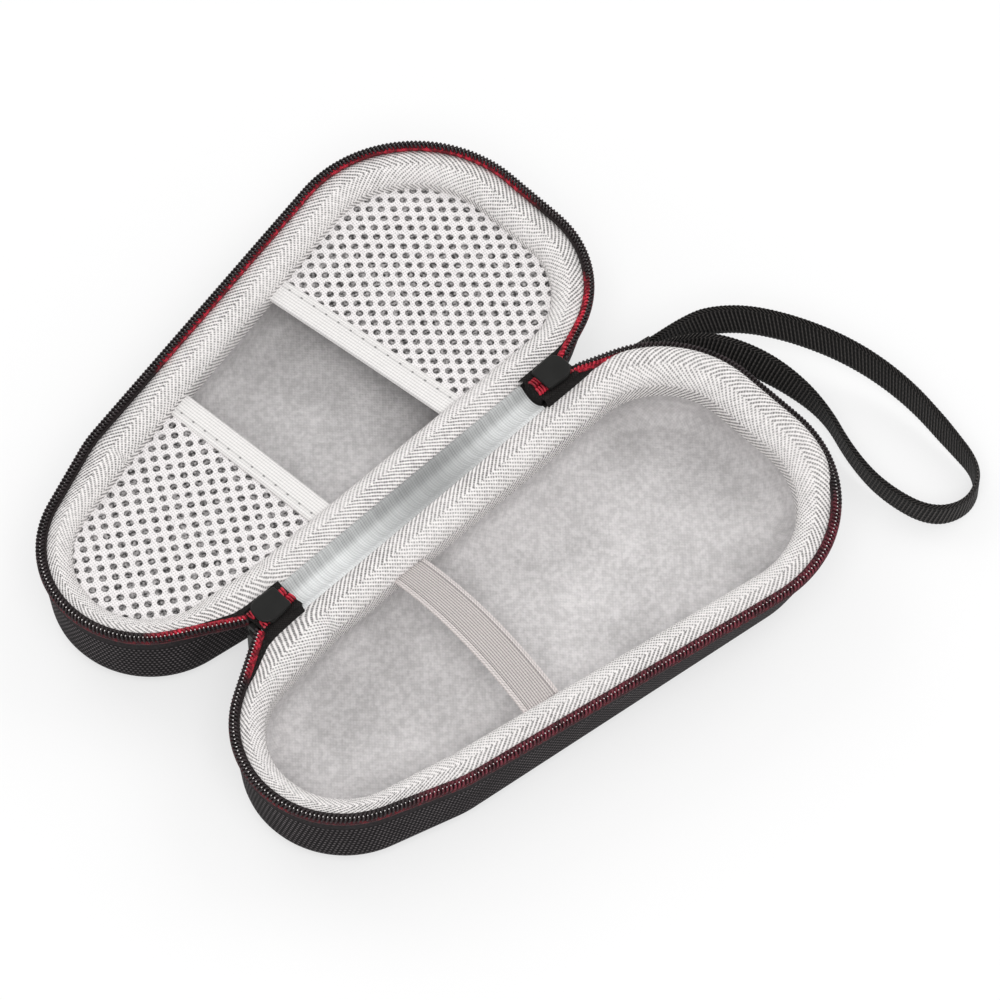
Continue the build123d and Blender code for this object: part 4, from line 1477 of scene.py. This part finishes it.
class CASE_OT_pockets(bpy.types.Operator):
    """Mesh pockets of the lid with their backing and hems"""
    bl_idname = "case.pockets"
    bl_label = "Mesh pockets"

    def execute(self, context):
        self.outline = mirrored(rim_ring(12.45, 0.0, MOUTH_RELIEF), True)[::-1]
        for end, hem_x, lean, keep, rise in POCKETS:
            angle = math.radians(90.0 + lean)
            line = ((hem_x, LID_MIDDLE), (math.cos(angle), math.sin(angle)))
            self.mesh(end, line, keep, rise)
            self.backing(end, line, keep)
            self.hem(end, line, keep)
        return {"FINISHED"}

    def cell(self, next_hole, next_row):
        """Points and faces of a six-sided cell with a round hole, for holes at these steps."""
        fresh()
        hole = bpy.context.scene.case_sizes.hole_radius
        bpy.ops.mesh.primitive_circle_add(vertices=12, radius=hole)
        cell = bpy.context.object
        in_edit(cell, bpy.ops.mesh.extrude_edges_move)
        corners = [2 * next_hole + next_row, next_hole + 2 * next_row, next_row - next_hole]
        corners += [-corner for corner in corners]
        edge = []
        for k in range(6):
            edge += [corners[k] / 3, (corners[k] + corners[(k + 1) % 6]) / 6]
        edge = np.array(edge) * MM
        edge = edge[np.argsort(np.arctan2(edge[:, 1], edge[:, 0]))]
        rim = sorted(cell.data.vertices[12:], key=lambda made: math.atan2(made.co.y, made.co.x))
        rays = np.array([vertex.co[:2] for vertex in rim])
        turned = [np.roll(edge, turn, axis=0) for turn in range(12)]
        for vertex, place in zip(rim, max(turned, key=lambda corners: (rays * corners).sum())):
            vertex.co = (*place, 0.0)
        base = np.array([vertex.co[:2] for vertex in cell.data.vertices])
        faces = [tuple(face.vertices) for face in cell.data.polygons]
        bpy.data.objects.remove(cell)
        return base / MM, faces

    def mesh(self, end, line, keep, rise):
        """Cells in rows, pulled up by a share of their pitch and cut to the pocket's shape."""
        sizes = bpy.context.scene.case_sizes
        pitch = sizes.hole_pitch / MM
        next_hole = np.array([pitch, pitch * rise])
        next_row = np.array([sizes.hole_shift, sizes.hole_row]) / MM
        base, faces = self.cell(next_hole, next_row)
        cosine, sine = math.cos(MESH_TILT), math.sin(MESH_TILT)
        spin = np.array([[cosine, -sine], [sine, cosine]])
        cells = []
        for row in range(-40, 41):
            for column in range(-40, 41):
                place = spin @ (column * next_hole + row * next_row) + MESH_START
                reaches = past_line(place, line) * keep >= -0.6 * pitch
                if reaches and self.near(place, 0.75 * pitch):
                    cells.append((spin @ base.T).T + place)
        points = self.trim(np.concatenate(cells), line, keep)
        points = np.column_stack([points, MESH_Z + self.bulge(points)]) * MM
        piece = repeated(f"{end}_mesh_cloth", points, len(base), faces)
        plane_uv(piece)
        self.clean(piece, 0.00002, face_out)
        self.declare(piece, 0.0005, "mesh", f"{end}_pocket_mesh")
        smooth(piece, 60)

    def trim(self, points, line, keep):
        """Points brought inside the pocket, in a few rounds so that its corners come out sharp."""
        for _ in range(4):
            points = pull_inside(points, self.outline)
            past = past_line(points, line)
            past[past * keep >= 0] = 0.0
            points += past[:, None] * np.array([-line[1][1], line[1][0]])
        return points

    def clean(self, piece, reach, *steps):
        """Welds what the trimming has laid together and drops what comes loose."""
        in_edit(
            piece, lambda: weld(reach),
            lambda: bpy.ops.mesh.dissolve_degenerate(threshold=reach), *steps,
        )
        in_edit(piece, bpy.ops.mesh.delete_loose)
        drop_scraps(piece)
        face_up(piece)

    def declare(self, piece, thickness, look, *nodes):
        thicken(piece, thickness)
        settle(piece, "lid", look, "mesh_fabric", *nodes)

    def near(self, place, reach):
        """Whether a place lies in the pockets' outline or within reach of it."""
        gap = np.hypot(*(self.outline - place).T).min()
        return gap < reach or inside(place[None], self.outline)[0]

    def bulge(self, points):
        """The mesh stands a little fuller towards the middle of the lid's ends."""
        return 0.35 * np.sin(points[:, 0] * 0.09) * np.sin(points[:, 1] * 0.07)

    def backing(self, end, line, keep):
        """Fine cloth without holes, close behind the mesh."""
        xs = np.linspace(-86, 84, 86)
        ys = np.linspace(15.0, 86.0, 36)
        points = np.stack(np.meshgrid(xs, ys, indexing="ij"), axis=-1).reshape(-1, 2)
        points = self.trim(points, line, keep)
        points = np.column_stack([points, MESH_Z - 0.7 + self.bulge(points)]) * MM
        grid = points.reshape(len(xs), len(ys), 3)
        piece = woven(f"{end}_mesh_backing", grid, xs * MM, ys * MM)
        self.clean(piece, 0.0002)
        self.declare(piece, 0.0003, "backing")

    def hem(self, end, line, keep):
        """Folded tape along the open edge, its ends tucked behind the binding."""
        half = bpy.context.scene.case_sizes.hem_width / MM / 2
        start, ahead = np.array(line[0]), np.array(line[1])
        side = np.array([ahead[1], -ahead[0]]) * keep
        wanted = np.linspace(-50, 50, 401)
        hits = wanted[inside(start + wanted[:, None] * ahead, self.outline)]
        places = np.linspace(hits[0] - 0.3, hits[-1] + 0.3, 46)
        outs, heights = np.array(HEM_SECTION).T
        rows = []
        for share, place in zip(np.linspace(0.0, 1.0, len(places)), places):
            row = start + ahead * place + outs[:, None] * half * side
            bow = 0.25 * math.sin(share * math.pi)
            rows.append(level_ring(pull_inside(row, self.outline), heights + bow))
        across = line_lengths(np.column_stack([outs * half, heights]) * MM)
        piece = woven(
            f"{end}_hem_tape", np.array(rows) * MM, (places - places[0]) * MM, across,
            wrap_across=True, caps=True,
        )
        smooth(piece, 60)
        settle(piece, "lid", "hem", "hem_fabric", f"{end}_pocket_hem")


class CASE_PT_panel(bpy.types.Panel):
    """Lists the pieces of the case"""
    bl_label = "Shaver case"
    bl_idname = "CASE_PT_panel"
    bl_space_type = "VIEW_3D"
    bl_region_type = "UI"
    bl_category = "Case"

    def draw(self, context):
        for group in (context.scene.case_sizes, context.scene.case_colours):
            for name in group.__annotations__:
                self.layout.prop(group, name)
        for step in STEPS:
            self.layout.operator(step.bl_idname)


STEPS = (
    CASE_OT_stage, CASE_OT_hand_strap, CASE_OT_shells, CASE_OT_linings, CASE_OT_bindings,
    CASE_OT_zips, CASE_OT_hinge, CASE_OT_chains, CASE_OT_sliders, CASE_OT_elastic,
    CASE_OT_pockets,
)
CLASSES = (CaseSizes, CaseColours, *STEPS, CASE_PT_panel)


def register():
    for made in CLASSES:
        bpy.utils.register_class(made)
    bpy.types.Scene.case_sizes = PointerProperty(type=CaseSizes)
    bpy.types.Scene.case_colours = PointerProperty(type=CaseColours)


def unregister():
    del bpy.types.Scene.case_colours
    del bpy.types.Scene.case_sizes
    for made in reversed(CLASSES):
        bpy.utils.unregister_class(made)


def main():
    register()
    for step in STEPS:
        group, name = step.bl_idname.split(".")
        getattr(getattr(bpy.ops, group), name)()
    fresh()


if __name__ == "__main__":
    main()
